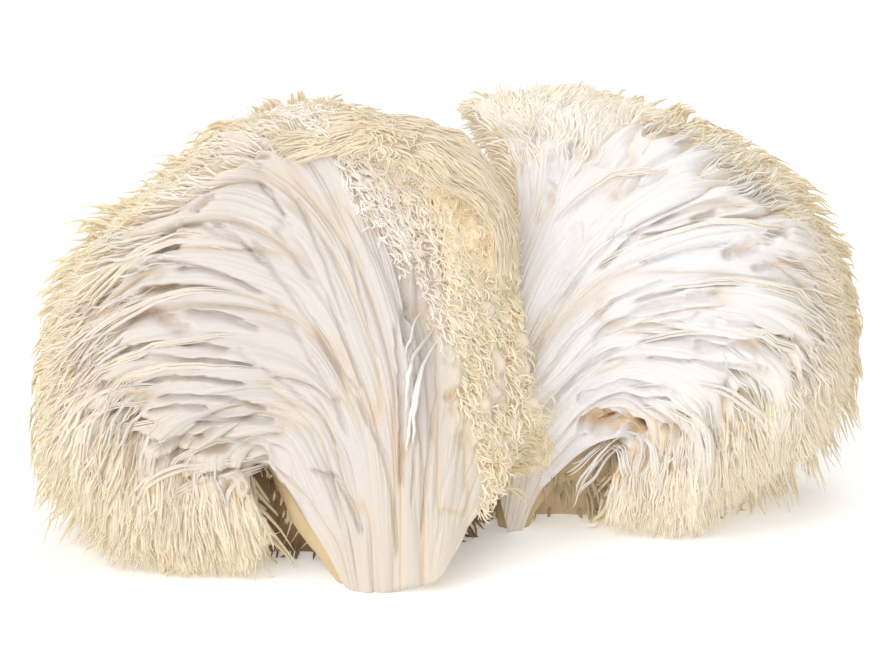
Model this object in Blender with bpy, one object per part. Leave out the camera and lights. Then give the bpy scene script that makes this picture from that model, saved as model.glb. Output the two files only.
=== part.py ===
"""Lion's mane mushroom, torn open up from the stem so that both inner faces show.

The mushroom is one grown piece, so it is one solid. Each half is a fan of fibres
that leaves the stem and ends in hanging spines, with the spiny outside of the cap
behind it. A hood of spines leans over the left half, and a band of crumbly torn
flesh still joins the halves. The fibres are traced as seen by one eye point: a
traced point is a pixel of the picture and a depth, and sits on its line of sight.

Metres, +Z up. +X is to the viewer's right, +Y away from the viewer. The origin is
on the surface that it rests on, under the middle of the whole mushroom.
"""

import math

import bmesh
import bpy
import numpy as np
from mathutils import Vector

# Driving dimensions
OVERALL_WIDTH = 0.200  # tip to tip of the spines, left half to right half
EYE_DISTANCE = 0.72
EYE_ELEVATION = math.radians(15.0)

# The picture's frame and the pixels that give it its scale and its floor
PICTURE_CENTRE = (443.0, 323.5)
LEFT_TIP_PIXEL, RIGHT_TIP_PIXEL = 38.0, 851.0
FOOT_PIXEL_ROW = 593.0  # the left stem touches the floor here, at depth 0
SIGHT_DEPTH = 0.040  # the depth at which the scale holds
MIDDLE_DEPTH = 0.0557  # the depth that the origin lies at
MIDDLE_ACROSS = 0.0024  # and how far right of the picture's middle

# Fibres of each torn face, from the stem's foot to the tips of the spines, each as
# (column, row) pixels. The first fibre runs up the stem's outer edge.
LEFT_FIBRES = (
    ((350, 595), (322, 548), (298, 512), (276, 484), (262, 466), (248, 474), (254, 500), (271, 536)),
    ((352, 596), (328, 540), (304, 496), (282, 462), (256, 450), (232, 466), (236, 512), (258, 566)),
    ((355, 597), (337, 533), (314, 480), (286, 440), (245, 438), (206, 458), (208, 512), (226, 573)),
    ((358, 598), (344, 528), (323, 468), (291, 425), (236, 422), (180, 450), (178, 512), (190, 578)),
    ((362, 599), (350, 523), (331, 458), (296, 410), (228, 404), (156, 436), (148, 502), (154, 574)),
    ((366, 599), (356, 517), (338, 448), (300, 395), (222, 385), (136, 412), (113, 484), (120, 560)),
    ((370, 598), (361, 510), (344, 438), (302, 377), (216, 361), (120, 382), (82, 452), (84, 528)),
    ((374, 598), (366, 502), (349, 425), (302, 352), (211, 331), (116, 346), (66, 408), (45, 486)),
    ((378, 597), (371, 492), (354, 410), (302, 326), (211, 299), (118, 310), (64, 362), (40, 430)),
    ((382, 596), (377, 481), (359, 395), (304, 299), (216, 262), (128, 272), (76, 312), (49, 368)),
    ((387, 595), (383, 470), (365, 380), (308, 272), (226, 228), (144, 236), (92, 266), (63, 306)),
    ((392, 594), (389, 460), (371, 366), (318, 250), (248, 198), (178, 202), (122, 226), (88, 252)),
    ((398, 592), (395, 452), (378, 352), (332, 236), (274, 172), (222, 166), (168, 190), (126, 216)),
    ((404, 590), (402, 450), (387, 342), (346, 226), (300, 156), (262, 136), (218, 148), (178, 174)),
    ((410, 588), (409, 450), (397, 340), (360, 222), (326, 152), (296, 122), (264, 120), (232, 132)),
    ((416, 587), (416, 452), (408, 342), (380, 228), (358, 172), (342, 138), (326, 116), (308, 104)),
    ((422, 586), (424, 462), (419, 360), (402, 262), (388, 206), (376, 170), (364, 142), (350, 122)),
    ((428, 585), (433, 478), (434, 388), (426, 304), (418, 248), (410, 210), (402, 178), (392, 150)),
    ((434, 583), (448, 498), (457, 420), (459, 344), (458, 284), (455, 244), (449, 212), (442, 184)),
    ((438, 580), (463, 510), (484, 442), (488, 364), (486, 304), (484, 262), (479, 232), (472, 204)),
    ((442, 576), (474, 522), (505, 478), (524, 410), (520, 340), (514, 290), (514, 252), (508, 216)),
)
RIGHT_FIBRES = (
    ((518, 541), (537, 500), (560, 474), (586, 452), (606, 440), (622, 446), (612, 482), (609, 518)),
    ((516, 540), (534, 490), (558, 460), (584, 432), (612, 420), (638, 440), (634, 486), (626, 526)),
    ((514, 539), (532, 478), (556, 442), (586, 414), (622, 402), (658, 424), (660, 478), (650, 532)),
    ((512, 538), (531, 464), (556, 424), (592, 392), (640, 382), (688, 412), (694, 470), (686, 537)),
    ((510, 537), (530, 450), (556, 408), (600, 372), (658, 364), (716, 394), (726, 450), (708, 512)),
    ((509, 535), (529, 436), (556, 394), (606, 356), (676, 348), (744, 376), (762, 430), (748, 486)),
    ((508, 532), (528, 424), (556, 382), (610, 340), (690, 330), (766, 352), (796, 404), (790, 468)),
    ((507, 528), (527, 412), (556, 370), (612, 322), (700, 306), (784, 322), (824, 366), (826, 430)),
    ((506, 524), (526, 402), (554, 356), (612, 302), (704, 278), (790, 286), (834, 318), (850, 368)),
    ((505, 520), (524, 392), (550, 342), (610, 282), (702, 250), (782, 248), (820, 266), (842, 296)),
    ((504, 516), (522, 382), (546, 328), (604, 262), (690, 222), (762, 210), (794, 216), (818, 238)),
    ((503, 512), (520, 372), (542, 314), (596, 244), (672, 198), (732, 178), (762, 178), (788, 190)),
    ((502, 508), (518, 362), (538, 300), (586, 226), (646, 176), (694, 150), (722, 150), (750, 157)),
    ((501, 504), (516, 352), (532, 290), (570, 214), (608, 160), (640, 128), (668, 126), (698, 130)),
    ((500, 500), (514, 345), (524, 280), (548, 208), (568, 150), (584, 118), (604, 107), (632, 108)),
    ((499, 496), (511, 340), (517, 272), (530, 206), (536, 152), (534, 118), (536, 102), (550, 98)),
    ((498, 492), (508, 336), (510, 266), (512, 206), (506, 160), (492, 132), (484, 114), (478, 108)),
)

# How deep a fibre lies at its eight traced points, in millimetres, by the stretch of
# the fan that it belongs to. A stretch is (first fibre, depths); depths blend between.
LEFT_DEPTHS = (
    (0, (3, 4, 6, 9, 11, 9, 9, 11)),
    (2, (1, 2, 4, 7, 8, 7, 8, 11)),
    (5, (0, 2, 4, 7, 7, 6, 10, 16)),
    (9, (0, 2, 5, 9, 10, 11, 20, 34)),
    (13, (0, 3, 8, 14, 18, 22, 32, 44)),
    (15, (0, 4, 10, 17, 22, 27, 36, 44)),
    (18, (0, 5, 12, 19, 24, 28, 31, 33)),
    (20, (0, 8, 16, 26, 34, 40, 43, 45)),
)
RIGHT_DEPTHS = (
    (0, (45, 46, 46, 45, 43, 40, 40, 42)),
    (3, (44, 44, 43, 41, 38, 35, 36, 40)),
    (7, (43, 42, 41, 37, 34, 36, 45, 57)),
    (11, (43, 42, 41, 39, 40, 45, 57, 70)),
    (13, (43, 43, 44, 48, 53, 58, 66, 73)),
    (16, (43, 46, 50, 57, 62, 66, 70, 73)),
)

# Stems: the outer skin, as level slices (left pixel, right pixel, row), and the
# depth in millimetres of each slice's front
LEFT_STEM = (
    (346, 386, 601), (324, 426, 577), (300, 438, 551), (280, 464, 521),
    (266, 486, 490), (270, 500, 458), (290, 500, 425),
)
LEFT_STEM_DEPTHS = (3.0, 4.0, 6.0, 9.0, 12.5, 16.0, 20.0)
RIGHT_STEM = (
    (500, 524, 542), (493, 540, 513), (487, 558, 490), (485, 576, 466),
    (488, 590, 440), (495, 596, 410),
)
RIGHT_STEM_DEPTHS = (46.5, 47.5, 49.5, 52.0, 54.0, 56.0)
STEM_ROUNDNESS = 0.55  # how deep a stem's slice is, as a share of its width
STEM_SIDES = 14

# The hood over the left half: from its back edge to its front edge, left to right
HOOD_RIBS = (
    ((292, 110), (300, 120), (312, 132), (326, 150)),
    ((336, 106), (352, 116), (362, 128), (374, 148)),
    ((382, 112), (402, 123), (408, 140), (412, 166)),
    ((424, 120), (444, 135), (446, 154), (446, 184)),
    ((456, 134), (478, 154), (480, 176), (478, 202)),
    ((478, 162), (498, 186), (502, 204), (496, 222)),
    ((492, 200), (508, 222), (510, 240), (500, 252)),
    ((496, 246), (512, 264), (512, 284), (500, 296)),
)
HOOD_INNER = ((400, 300), 50)  # the place, (pixel, depth mm), that the hood curves round
HOOD_DEPTHS = ((0, (46, 34, 24, 18)), (5, (46, 36, 27, 24)), (7, (46, 40, 36, 34)))

# Torn flesh that joins the halves: lumps as (pixel, depth mm, radii mm)
CURD_LUMPS = (
    ((468, 236), 33, (6, 6, 7)),
    ((486, 268), 36, (7, 7, 7)),
    ((470, 300), 36, (6, 6, 6)),
    ((492, 318), 38, (7, 8, 8)),
    ((478, 350), 37, (6, 6, 8)),
    ((504, 372), 42, (7, 10, 9)),
    ((522, 404), 46, (8, 10, 9)),
    ((512, 440), 44, (8, 10, 8)),
    ((534, 436), 48, (6, 8, 8)),
)

# Outside of the cap that hangs behind each stem: (pixel, depth mm, radii mm)
LEFT_SKIRT = ((330, 470), 46, (38, 20, 38))
RIGHT_SKIRT = ((560, 420), 74, (30, 20, 36))

# Where the points of a fibre lie, as a share of its length from the foot: on the torn
# face, and on the outside, which stops short of the tips
FRONT_PLACES = (0.0, 0.13, 0.26, 0.39, 0.51, 0.62, 0.72, 0.81, 0.89, 1.0)
BACK_PLACES = (0.0, 0.13, 0.26, 0.39, 0.51, 0.62, 0.72, 0.80, 0.86, 0.90)

# How deep the outside lies behind the torn face, in millimetres, along a fibre, and as
# a share of that across the fibres
BACK_ALONG = (8.0, 17.0, 31.0, 43.0, 49.0, 51.0, 49.0, 42.0, 30.0, 15.0)
BACK_ACROSS_PLACES = (0.0, 0.03, 0.08, 0.16, 0.3, 0.8, 1.0)
BACK_ACROSS = (0.3, 0.4, 0.6, 0.8, 1.0, 1.0, 0.6)

# Form of the fans and their spines
FAN_COLUMNS = 73  # odd, as ridges and grooves alternate
RIDGE_DEPTH = 0.0012
RIDGE_START, RIDGE_FULL = 0.35, 0.75  # where ridges rise from the smooth flesh
LOCK_NOTCH = 0.8  # how far the rim is cut back between two locks of spines
ROW_JITTER = 0.02  # keeps the bends of neighbouring fibres from lining up
JITTER_FROM_ROW = 5  # nearer the foot the fibres lie too close for that
BACK_SPINE = 0.009
RIM_SPINE = 0.004  # shorter on the two rows next to the rim, which the tips reach past
BARE_ROWS = 2  # rows of the outside, up from the foot, that have no spines
SPINE_ASPECT = 2.4  # a spine's length is at most this times its root's breadth
SPINE_DROOP = (0.0, 0.0, -0.6)
HOOD_COLUMNS, HOOD_ROWS = 21, 6
HOOD_THICKNESS, HOOD_SPINE = 0.005, 0.006
HOOD_LEAN = (0.8, -0.75, -0.5)
FLOOR_BLOCK = 0.6
SEED = 13
MM = 0.001

FLESH_COLOUR = (0.86, 0.79, 0.66, 1.0)
FLESH_ROUGHNESS = 0.6


def on_sight_line(column, row, depth):
    """The point at a depth, in metres, that the eye sees at a pixel of the picture."""
    scale = OVERALL_WIDTH / (RIGHT_TIP_PIXEL - LEFT_TIP_PIXEL)
    focal = EYE_DISTANCE / scale
    sine, cosine = math.sin(EYE_ELEVATION), math.cos(EYE_ELEVATION)
    # the aim's height is the one that puts FOOT_PIXEL_ROW on the floor at depth 0
    slope = (FOOT_PIXEL_ROW - PICTURE_CENTRE[1]) / focal
    aim = (slope * (EYE_DISTANCE - SIGHT_DEPTH * cosine) - SIGHT_DEPTH * sine) / (cosine - slope * sine)
    across = (column - PICTURE_CENTRE[0]) / focal
    up = (PICTURE_CENTRE[1] - row) / focal
    reach = (depth - SIGHT_DEPTH + EYE_DISTANCE * cosine) / (cosine + up * sine)
    height = aim + EYE_DISTANCE * sine + reach * (up * cosine - sine)
    return (reach * across - MIDDLE_ACROSS, depth - MIDDLE_DEPTH, height)


def curve(points, places):
    """Points along axis 0 re-read at places from 0 to 1 of a Catmull-Rom curve."""
    points = np.asarray(points, float)
    last = len(points) - 1
    before_first, after_last = 2 * points[:1] - points[1:2], 2 * points[-1:] - points[-2:-1]
    padded = np.concatenate([before_first, points, after_last])
    place = np.asarray(places) * last
    start = np.clip(place.astype(int), 0, last - 1)
    part = (place - start).reshape((-1,) + (1,) * (points.ndim - 1))
    before, here, after, beyond = (padded[start + k] for k in range(4))
    return 0.5 * (
        2 * here
        + (after - before) * part
        + (2 * before - 5 * here + 4 * after - beyond) * part**2
        + (3 * here - before - 3 * after + beyond) * part**3
    )


def depths_of(stretches, count):
    """One row of depths for each of count fibres, blended between the stretches."""
    firsts = [first for first, _ in stretches]
    table = np.array([depths for _, depths in stretches], float)
    places = np.arange(count)
    return np.stack([np.interp(places, firsts, column) for column in table.T], axis=1)


def traced_sheet(fibres, stretches, across, along, extra=None):
    """A grid of points, extra millimetres behind the traced depths.

    across holds each column's place, and along holds each column's row places.
    """
    depths = depths_of(stretches, len(fibres))
    traced = np.dstack([np.array(fibres, float), depths])
    columns = curve(traced, across)
    grid = np.stack([curve(column, places) for column, places in zip(columns, along)])
    if extra is not None:
        grid[:, :, 2] += extra
    return np.array([[on_sight_line(c, r, depth * MM) for c, r, depth in column] for column in grid])


def flesh_material():
    """One cream flesh colour for the whole solid."""
    material = bpy.data.materials.new("flesh")
    material.use_nodes = True
    shader = material.node_tree.nodes["Principled BSDF"]
    shader.inputs["Base Color"].default_value = FLESH_COLOUR
    shader.inputs["Roughness"].default_value = FLESH_ROUGHNESS
    return material


def linked(name, shape, spines=()):
    """Ends a closed bmesh as a scene object, its faces outwards.

    spines are (face, reach, lean): the spine on that face goes out along the face's
    normal and over along lean.
    """
    bmesh.ops.recalc_face_normals(shape, faces=shape.faces)
    if shape.calc_volume(signed=True) < 0:
        bmesh.ops.reverse_faces(shape, faces=shape.faces)
    shape.normal_update()
    for face, reach, lean in spines:
        span = max((a.co - b.co).length for a in face.verts for b in face.verts)
        length = min(reach, SPINE_ASPECT * face.calc_area() / span)
        tip = face.calc_center_median() + length * (face.normal + Vector(lean))
        bmesh.ops.poke(shape, faces=[face])["verts"][0].co = tip
    bmesh.ops.triangulate(shape, faces=shape.faces)
    mesh = bpy.data.meshes.new(name)
    shape.to_mesh(mesh)
    shape.free()
    obj = bpy.data.objects.new(name, mesh)
    bpy.context.scene.collection.objects.link(obj)
    return obj


def closed_object(name, points, faces, spines=()):
    """A closed mesh object. spines are (face number, reach, lean)."""
    shape = bmesh.new()
    corners = [shape.verts.new(point) for point in points]
    made = [shape.faces.new([corners[i] for i in face]) for face in faces]
    return linked(name, shape, [(made[number], reach, lean) for number, reach, lean in spines])


def grid_faces(columns, rows, first, turned):
    """The squares of a grid of points whose numbers start at first, column by column."""
    faces = []
    for c in range(columns - 1):
        for r in range(rows - 1):
            corner = first + c * rows + r
            square = [corner, corner + rows, corner + rows + 1, corner + 1]
            faces.append(square[::-1] if turned else square)
    return faces


def half(name, fibres, stretches, rng):
    """Half a mushroom: the ridged torn face, its rim of locks, and the spiny outside.

    The outside has one column of points for every two of the torn face.
    """
    columns, rows = FAN_COLUMNS, len(FRONT_PLACES)
    across = np.linspace(0, 1, columns)
    along = np.tile(FRONT_PLACES, (columns, 1))
    loose = slice(JITTER_FROM_ROW, -2)
    along[:, loose] += rng.uniform(-ROW_JITTER, ROW_JITTER, along[:, loose].shape)
    front = traced_sheet(fibres, stretches, across, along)
    side = np.where(np.arange(columns) % 2 == 0, 1.0, -1.0) * rng.uniform(0.5, 1.4, columns)
    rise = np.interp(along, (RIDGE_START, RIDGE_FULL), (0.0, 1.0))
    front[:, :, 1] -= RIDGE_DEPTH * side[:, None] * rise
    for c in range(1, columns - 1):
        cut = LOCK_NOTCH * rng.uniform(0.7, 1.1) if c % 2 else rng.uniform(0.0, 0.35)
        front[c, -1] += cut * (front[c, -2] - front[c, -1])

    behind = (columns + 1) // 2
    share = np.interp(across[::2], BACK_ACROSS_PLACES, BACK_ACROSS)
    extra = share[:, None] * np.array(BACK_ALONG)
    back = traced_sheet(fibres, stretches, across[::2], np.tile(BACK_PLACES, (behind, 1)), extra)
    back[:, 0, :2] = front[::2, 0, :2] + (0.0, BACK_ALONG[0] * MM)

    points = np.concatenate([front.reshape(-1, 3), back.reshape(-1, 3)])
    offset = columns * rows
    faces = grid_faces(columns, rows, 0, False)
    first = len(faces)
    faces += grid_faces(behind, rows, offset, True)
    outside = range(first, len(faces))
    for r in range(rows - 1):
        faces.append([r, r + 1, offset + r + 1, offset + r])
        last, last_back = (columns - 1) * rows + r, offset + (behind - 1) * rows + r
        faces.append([last + 1, last, last_back, last_back + 1])
    for k in range(behind - 1):
        for r in (0, rows - 1):
            a, b, c = (2 * k * rows + r, (2 * k + 1) * rows + r, (2 * k + 2) * rows + r)
            d, e = offset + k * rows + r, offset + (k + 1) * rows + r
            faces += [[a, b, d], [b, e, d], [b, c, e]]
    spiny = [n for n in outside if (n - outside[0]) % (rows - 1) >= BARE_ROWS]
    last_rows = (rows - 3, rows - 2)
    reach = [RIM_SPINE if (n - outside[0]) % (rows - 1) in last_rows else BACK_SPINE for n in spiny]
    spines = [(n, r * rng.uniform(0.8, 1.2), SPINE_DROOP) for n, r in zip(spiny, reach)]
    return closed_object(name, points, faces, spines)


def hood(rng):
    """The overhanging edge of the cap, with spines that lean right and down."""
    across = np.linspace(0, 1, HOOD_COLUMNS)
    along = np.tile(np.linspace(0, 1, HOOD_ROWS), (HOOD_COLUMNS, 1))
    front = traced_sheet(HOOD_RIBS, HOOD_DEPTHS, across, along)
    inwards = np.array(on_sight_line(*HOOD_INNER[0], HOOD_INNER[1] * MM)) - front
    back = front + HOOD_THICKNESS * inwards / np.linalg.norm(inwards, axis=2, keepdims=True)
    points = np.concatenate([front.reshape(-1, 3), back.reshape(-1, 3)])
    offset = HOOD_COLUMNS * HOOD_ROWS
    faces = grid_faces(HOOD_COLUMNS, HOOD_ROWS, 0, False)
    outside = range(len(faces))
    faces += grid_faces(HOOD_COLUMNS, HOOD_ROWS, offset, True)
    rim = [c * HOOD_ROWS for c in range(HOOD_COLUMNS)]
    rim += [(HOOD_COLUMNS - 1) * HOOD_ROWS + r for r in range(1, HOOD_ROWS)]
    rim += [c * HOOD_ROWS + HOOD_ROWS - 1 for c in range(HOOD_COLUMNS - 2, -1, -1)]
    rim += [r for r in range(HOOD_ROWS - 2, 0, -1)]
    faces += [[b, a, a + offset, b + offset] for a, b in zip(rim, rim[1:] + rim[:1])]
    spines = [(n, HOOD_SPINE * rng.uniform(0.7, 1.3), HOOD_LEAN) for n in outside]
    return closed_object("hood", points, faces, spines)


def stem(name, slices, depths):
    """Half of the stem: round skin behind, narrowing to the foot."""
    turn = 2 * math.pi * np.arange(STEM_SIDES) / STEM_SIDES
    points = []
    for (left, right, row), depth in zip(slices, depths):
        start = np.array(on_sight_line(left, row, depth * MM))
        end = np.array(on_sight_line(right, row, depth * MM))
        middle, reach = (start + end) / 2, (end[0] - start[0]) / 2
        depths_round = STEM_ROUNDNESS * reach * (1 + np.sin(turn))
        points.append(middle + np.stack([reach * np.cos(turn), depths_round, 0 * turn], axis=1))
    faces = []
    for level in range(len(slices) - 1):
        low = level * STEM_SIDES
        for k in range(STEM_SIDES):
            after = (k + 1) % STEM_SIDES
            faces.append([low + k, low + after, low + STEM_SIDES + after, low + STEM_SIDES + k])
    top = (len(slices) - 1) * STEM_SIDES
    faces += [list(range(STEM_SIDES)), list(range(top, top + STEM_SIDES))]
    return closed_object(name, np.concatenate(points), faces)


def lump(name, pixel, depth, radii, phase, spine=0.0):
    """A ball pushed in and out by waves along its axes, with spines on its back."""
    shape = bmesh.new()
    bmesh.ops.create_icosphere(shape, subdivisions=2, radius=1.0)
    middle = np.array(on_sight_line(*pixel, depth * MM))
    for corner in shape.verts:
        x, y, z = corner.co
        swell = 1 + 0.07 * math.sin(7 * x + phase) * math.sin(6 * y) + 0.06 * math.sin(9 * z)
        corner.co = middle + swell * np.array((x, y, z)) * np.array(radii) * MM
    shape.normal_update()
    behind = [face for face in shape.faces if spine and face.normal.y > 0]
    return linked(name, shape, [(face, spine, SPINE_DROOP) for face in behind])


def floor_block():
    """A block that fills the space under the surface, to cut the solid flat there."""
    shape = bmesh.new()
    bmesh.ops.create_cube(shape, size=FLOOR_BLOCK)
    bmesh.ops.translate(shape, verts=shape.verts, vec=(0, 0, -FLOOR_BLOCK / 2))
    return linked("floor_block", shape)


def join(base, other, operation):
    """Joins other to base, or cuts it away, and keeps other as a hidden helper."""
    modifier = base.modifiers.new(f"{operation.lower()} {other.name}", "BOOLEAN")
    modifier.operation = operation
    modifier.solver = "EXACT"
    modifier.use_self = True
    modifier.object = other
    other.hide_render = True
    other.display_type = "WIRE"


def apply_joins(base):
    """Makes the joins part of base's own mesh, without the crumbs they leave loose."""
    graph = bpy.context.evaluated_depsgraph_get()
    mesh = bpy.data.meshes.new_from_object(base.evaluated_get(graph))
    shape = bmesh.new()
    shape.from_mesh(mesh)
    unseen, bodies = set(shape.verts), []
    while unseen:
        body, edge_of_body = set(), {next(iter(unseen))}
        while edge_of_body:
            body |= edge_of_body
            nearby = {edge.other_vert(v) for v in edge_of_body for edge in v.link_edges}
            edge_of_body = nearby - body
        unseen -= body
        bodies.append(body)
    crumbs = set().union(*sorted(bodies, key=len)[:-1])
    bmesh.ops.delete(shape, geom=list(crumbs), context="VERTS")
    bmesh.ops.triangulate(shape, faces=shape.faces)
    shape.to_mesh(mesh)
    shape.free()
    base.modifiers.clear()
    base.data = mesh


def main():
    for obj in list(bpy.data.objects):
        bpy.data.objects.remove(obj)
    rng = np.random.default_rng(SEED)
    mushroom = half("mushroom", LEFT_FIBRES, LEFT_DEPTHS, rng)
    mushroom.data.materials.append(flesh_material())
    pieces = [
        stem("left_stem", LEFT_STEM, LEFT_STEM_DEPTHS),
        lump("left_skirt", *LEFT_SKIRT, 0, BACK_SPINE),
        hood(rng),
        half("right_half", RIGHT_FIBRES, RIGHT_DEPTHS, rng),
        stem("right_stem", RIGHT_STEM, RIGHT_STEM_DEPTHS),
        lump("right_skirt", *RIGHT_SKIRT, 1, BACK_SPINE),
    ]
    pieces += [lump(f"curd_{n}", *lump_sizes, n) for n, lump_sizes in enumerate(CURD_LUMPS)]
    for piece in pieces:
        join(mushroom, piece, "UNION")
    join(mushroom, floor_block(), "DIFFERENCE")
    apply_joins(mushroom)


if __name__ == "__main__":
    main()
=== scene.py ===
"""The looks of a lion's mane mushroom that was torn open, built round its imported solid."""

import logging
import math
from collections.abc import Callable
from dataclasses import dataclass, replace
from enum import Enum, IntEnum

import bmesh
import bpy
import numpy as np
from bpy.types import Mesh, Node, NodeTree, Object
from bpy.types import NodeSocket as Socket
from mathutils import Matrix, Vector


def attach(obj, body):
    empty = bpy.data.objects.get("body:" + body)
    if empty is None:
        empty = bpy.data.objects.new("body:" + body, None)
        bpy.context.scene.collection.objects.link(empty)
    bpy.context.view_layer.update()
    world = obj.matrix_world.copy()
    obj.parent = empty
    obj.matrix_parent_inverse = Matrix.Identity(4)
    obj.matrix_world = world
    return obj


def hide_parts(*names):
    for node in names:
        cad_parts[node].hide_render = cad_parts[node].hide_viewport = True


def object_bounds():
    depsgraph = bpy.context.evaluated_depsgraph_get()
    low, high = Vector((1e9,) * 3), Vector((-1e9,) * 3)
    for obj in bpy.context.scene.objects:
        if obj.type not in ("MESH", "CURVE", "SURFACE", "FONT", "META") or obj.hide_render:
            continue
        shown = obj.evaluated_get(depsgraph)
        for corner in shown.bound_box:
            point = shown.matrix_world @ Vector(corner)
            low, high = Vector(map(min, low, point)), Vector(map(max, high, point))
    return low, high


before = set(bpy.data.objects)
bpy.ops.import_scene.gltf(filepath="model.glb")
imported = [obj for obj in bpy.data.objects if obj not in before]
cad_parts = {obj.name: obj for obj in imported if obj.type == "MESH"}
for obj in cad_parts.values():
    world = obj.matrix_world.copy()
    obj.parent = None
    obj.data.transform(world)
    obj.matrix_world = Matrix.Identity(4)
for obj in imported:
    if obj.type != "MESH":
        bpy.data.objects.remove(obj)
CAD_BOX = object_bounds()

Array, Rng = np.ndarray, np.random.Generator
Arrays = tuple[Array, Array]
Pair = tuple[float, float]
Triple = tuple[float, float, float]
Screen = tuple[int, int, int]
Line = tuple[float, ...]
LOG = logging.getLogger("mushroom")
MM = 0.001
NODE, BODY, SLOT = "mushroom", "root", "flesh"

# Fibres of the torn faces, from the foot out to the tips. A traced line is the columns
# and rows of its points in the photograph, in turn.
LEFT_FIBRES = (
    (350, 595, 322, 548, 298, 512, 276, 484, 262, 466, 248, 474, 254, 500, 271, 536),
    (352, 596, 328, 540, 304, 496, 282, 462, 256, 450, 232, 466, 236, 512, 258, 566),
    (355, 597, 337, 533, 314, 480, 286, 440, 245, 438, 206, 458, 208, 512, 226, 573),
    (358, 598, 344, 528, 323, 468, 291, 425, 236, 422, 180, 450, 178, 512, 190, 578),
    (362, 599, 350, 523, 331, 458, 296, 410, 228, 404, 156, 436, 148, 502, 154, 574),
    (366, 599, 356, 517, 338, 448, 300, 395, 222, 385, 136, 412, 113, 484, 120, 560),
    (370, 598, 361, 510, 344, 438, 302, 377, 216, 361, 120, 382, 82, 452, 84, 528),
    (374, 598, 366, 502, 349, 425, 302, 352, 211, 331, 116, 346, 66, 408, 45, 486),
    (378, 597, 371, 492, 354, 410, 302, 326, 211, 299, 118, 310, 64, 362, 40, 430),
    (382, 596, 377, 481, 359, 395, 304, 299, 216, 262, 128, 272, 76, 312, 49, 368),
    (387, 595, 383, 470, 365, 380, 308, 272, 226, 228, 144, 236, 92, 266, 63, 306),
    (392, 594, 389, 460, 371, 366, 318, 250, 248, 198, 178, 202, 122, 226, 88, 252),
    (398, 592, 395, 452, 378, 352, 332, 236, 274, 172, 222, 166, 168, 190, 126, 216),
    (404, 590, 402, 450, 387, 342, 346, 226, 300, 156, 262, 136, 218, 148, 178, 174),
    (410, 588, 409, 450, 397, 340, 360, 222, 326, 152, 296, 122, 264, 120, 232, 132),
    (416, 587, 416, 452, 408, 342, 380, 228, 358, 172, 342, 138, 326, 116, 308, 104),
    (422, 586, 424, 462, 419, 360, 402, 262, 388, 206, 376, 170, 364, 142, 350, 122),
    (428, 585, 433, 478, 434, 388, 426, 304, 418, 248, 410, 210, 402, 178, 392, 150),
    (434, 583, 448, 498, 457, 420, 459, 344, 458, 284, 455, 244, 449, 212, 442, 184),
    (438, 580, 463, 510, 484, 442, 488, 364, 486, 304, 484, 262, 479, 232, 472, 204),
    (442, 576, 474, 522, 505, 478, 524, 410, 520, 340, 514, 290, 514, 252, 508, 216),
)
RIGHT_FIBRES = (
    (518, 541, 537, 500, 560, 474, 586, 452, 606, 440, 622, 446, 612, 482, 609, 518),
    (516, 540, 534, 490, 558, 460, 584, 432, 612, 420, 638, 440, 634, 486, 626, 526),
    (514, 539, 532, 478, 556, 442, 586, 414, 622, 402, 658, 424, 660, 478, 650, 532),
    (512, 538, 531, 464, 556, 424, 592, 392, 640, 382, 688, 412, 694, 470, 686, 537),
    (510, 537, 530, 450, 556, 408, 600, 372, 658, 364, 716, 394, 726, 450, 708, 512),
    (509, 535, 529, 436, 556, 394, 606, 356, 676, 348, 744, 376, 762, 430, 748, 486),
    (508, 532, 528, 424, 556, 382, 610, 340, 690, 330, 766, 352, 796, 404, 790, 468),
    (507, 528, 527, 412, 556, 370, 612, 322, 700, 306, 784, 322, 824, 366, 826, 430),
    (506, 524, 526, 402, 554, 356, 612, 302, 704, 278, 790, 286, 834, 318, 850, 368),
    (505, 520, 524, 392, 550, 342, 610, 282, 702, 250, 782, 248, 820, 266, 842, 296),
    (504, 516, 522, 382, 546, 328, 604, 262, 690, 222, 762, 210, 794, 216, 818, 238),
    (503, 512, 520, 372, 542, 314, 596, 244, 672, 198, 732, 178, 762, 178, 788, 190),
    (502, 508, 518, 362, 538, 300, 586, 226, 646, 176, 694, 150, 722, 150, 750, 157),
    (501, 504, 516, 352, 532, 290, 570, 214, 608, 160, 640, 128, 668, 126, 698, 130),
    (500, 500, 514, 345, 524, 280, 548, 208, 568, 150, 584, 118, 604, 107, 632, 108),
    (499, 496, 511, 340, 517, 272, 530, 206, 536, 152, 534, 118, 536, 102, 550, 98),
    (498, 492, 508, 336, 510, 266, 512, 206, 506, 160, 492, 132, 484, 114, 478, 108),
)

# How deep a fibre lies at its eight points, in millimetres. A stretch is (first fibre,
# depths), and the depths blend from stretch to stretch.
LEFT_DEPTHS = (
    (0, (3, 4, 6, 9, 11, 9, 9, 11)),
    (2, (1, 2, 4, 7, 8, 7, 8, 11)),
    (5, (0, 2, 4, 7, 7, 6, 10, 16)),
    (9, (0, 2, 5, 9, 10, 11, 20, 34)),
    (13, (0, 3, 8, 14, 18, 22, 32, 44)),
    (15, (0, 4, 10, 17, 22, 27, 36, 44)),
    (18, (0, 5, 12, 19, 24, 28, 31, 33)),
    (20, (0, 8, 16, 26, 34, 40, 43, 45)),
)
RIGHT_DEPTHS = (
    (0, (45, 46, 46, 45, 43, 40, 40, 42)),
    (3, (44, 44, 43, 41, 38, 35, 36, 40)),
    (7, (43, 42, 41, 37, 34, 36, 45, 57)),
    (11, (43, 42, 41, 39, 40, 45, 57, 70)),
    (13, (43, 43, 44, 48, 53, 58, 66, 73)),
    (16, (43, 46, 50, 57, 62, 66, 70, 73)),
)

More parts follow.
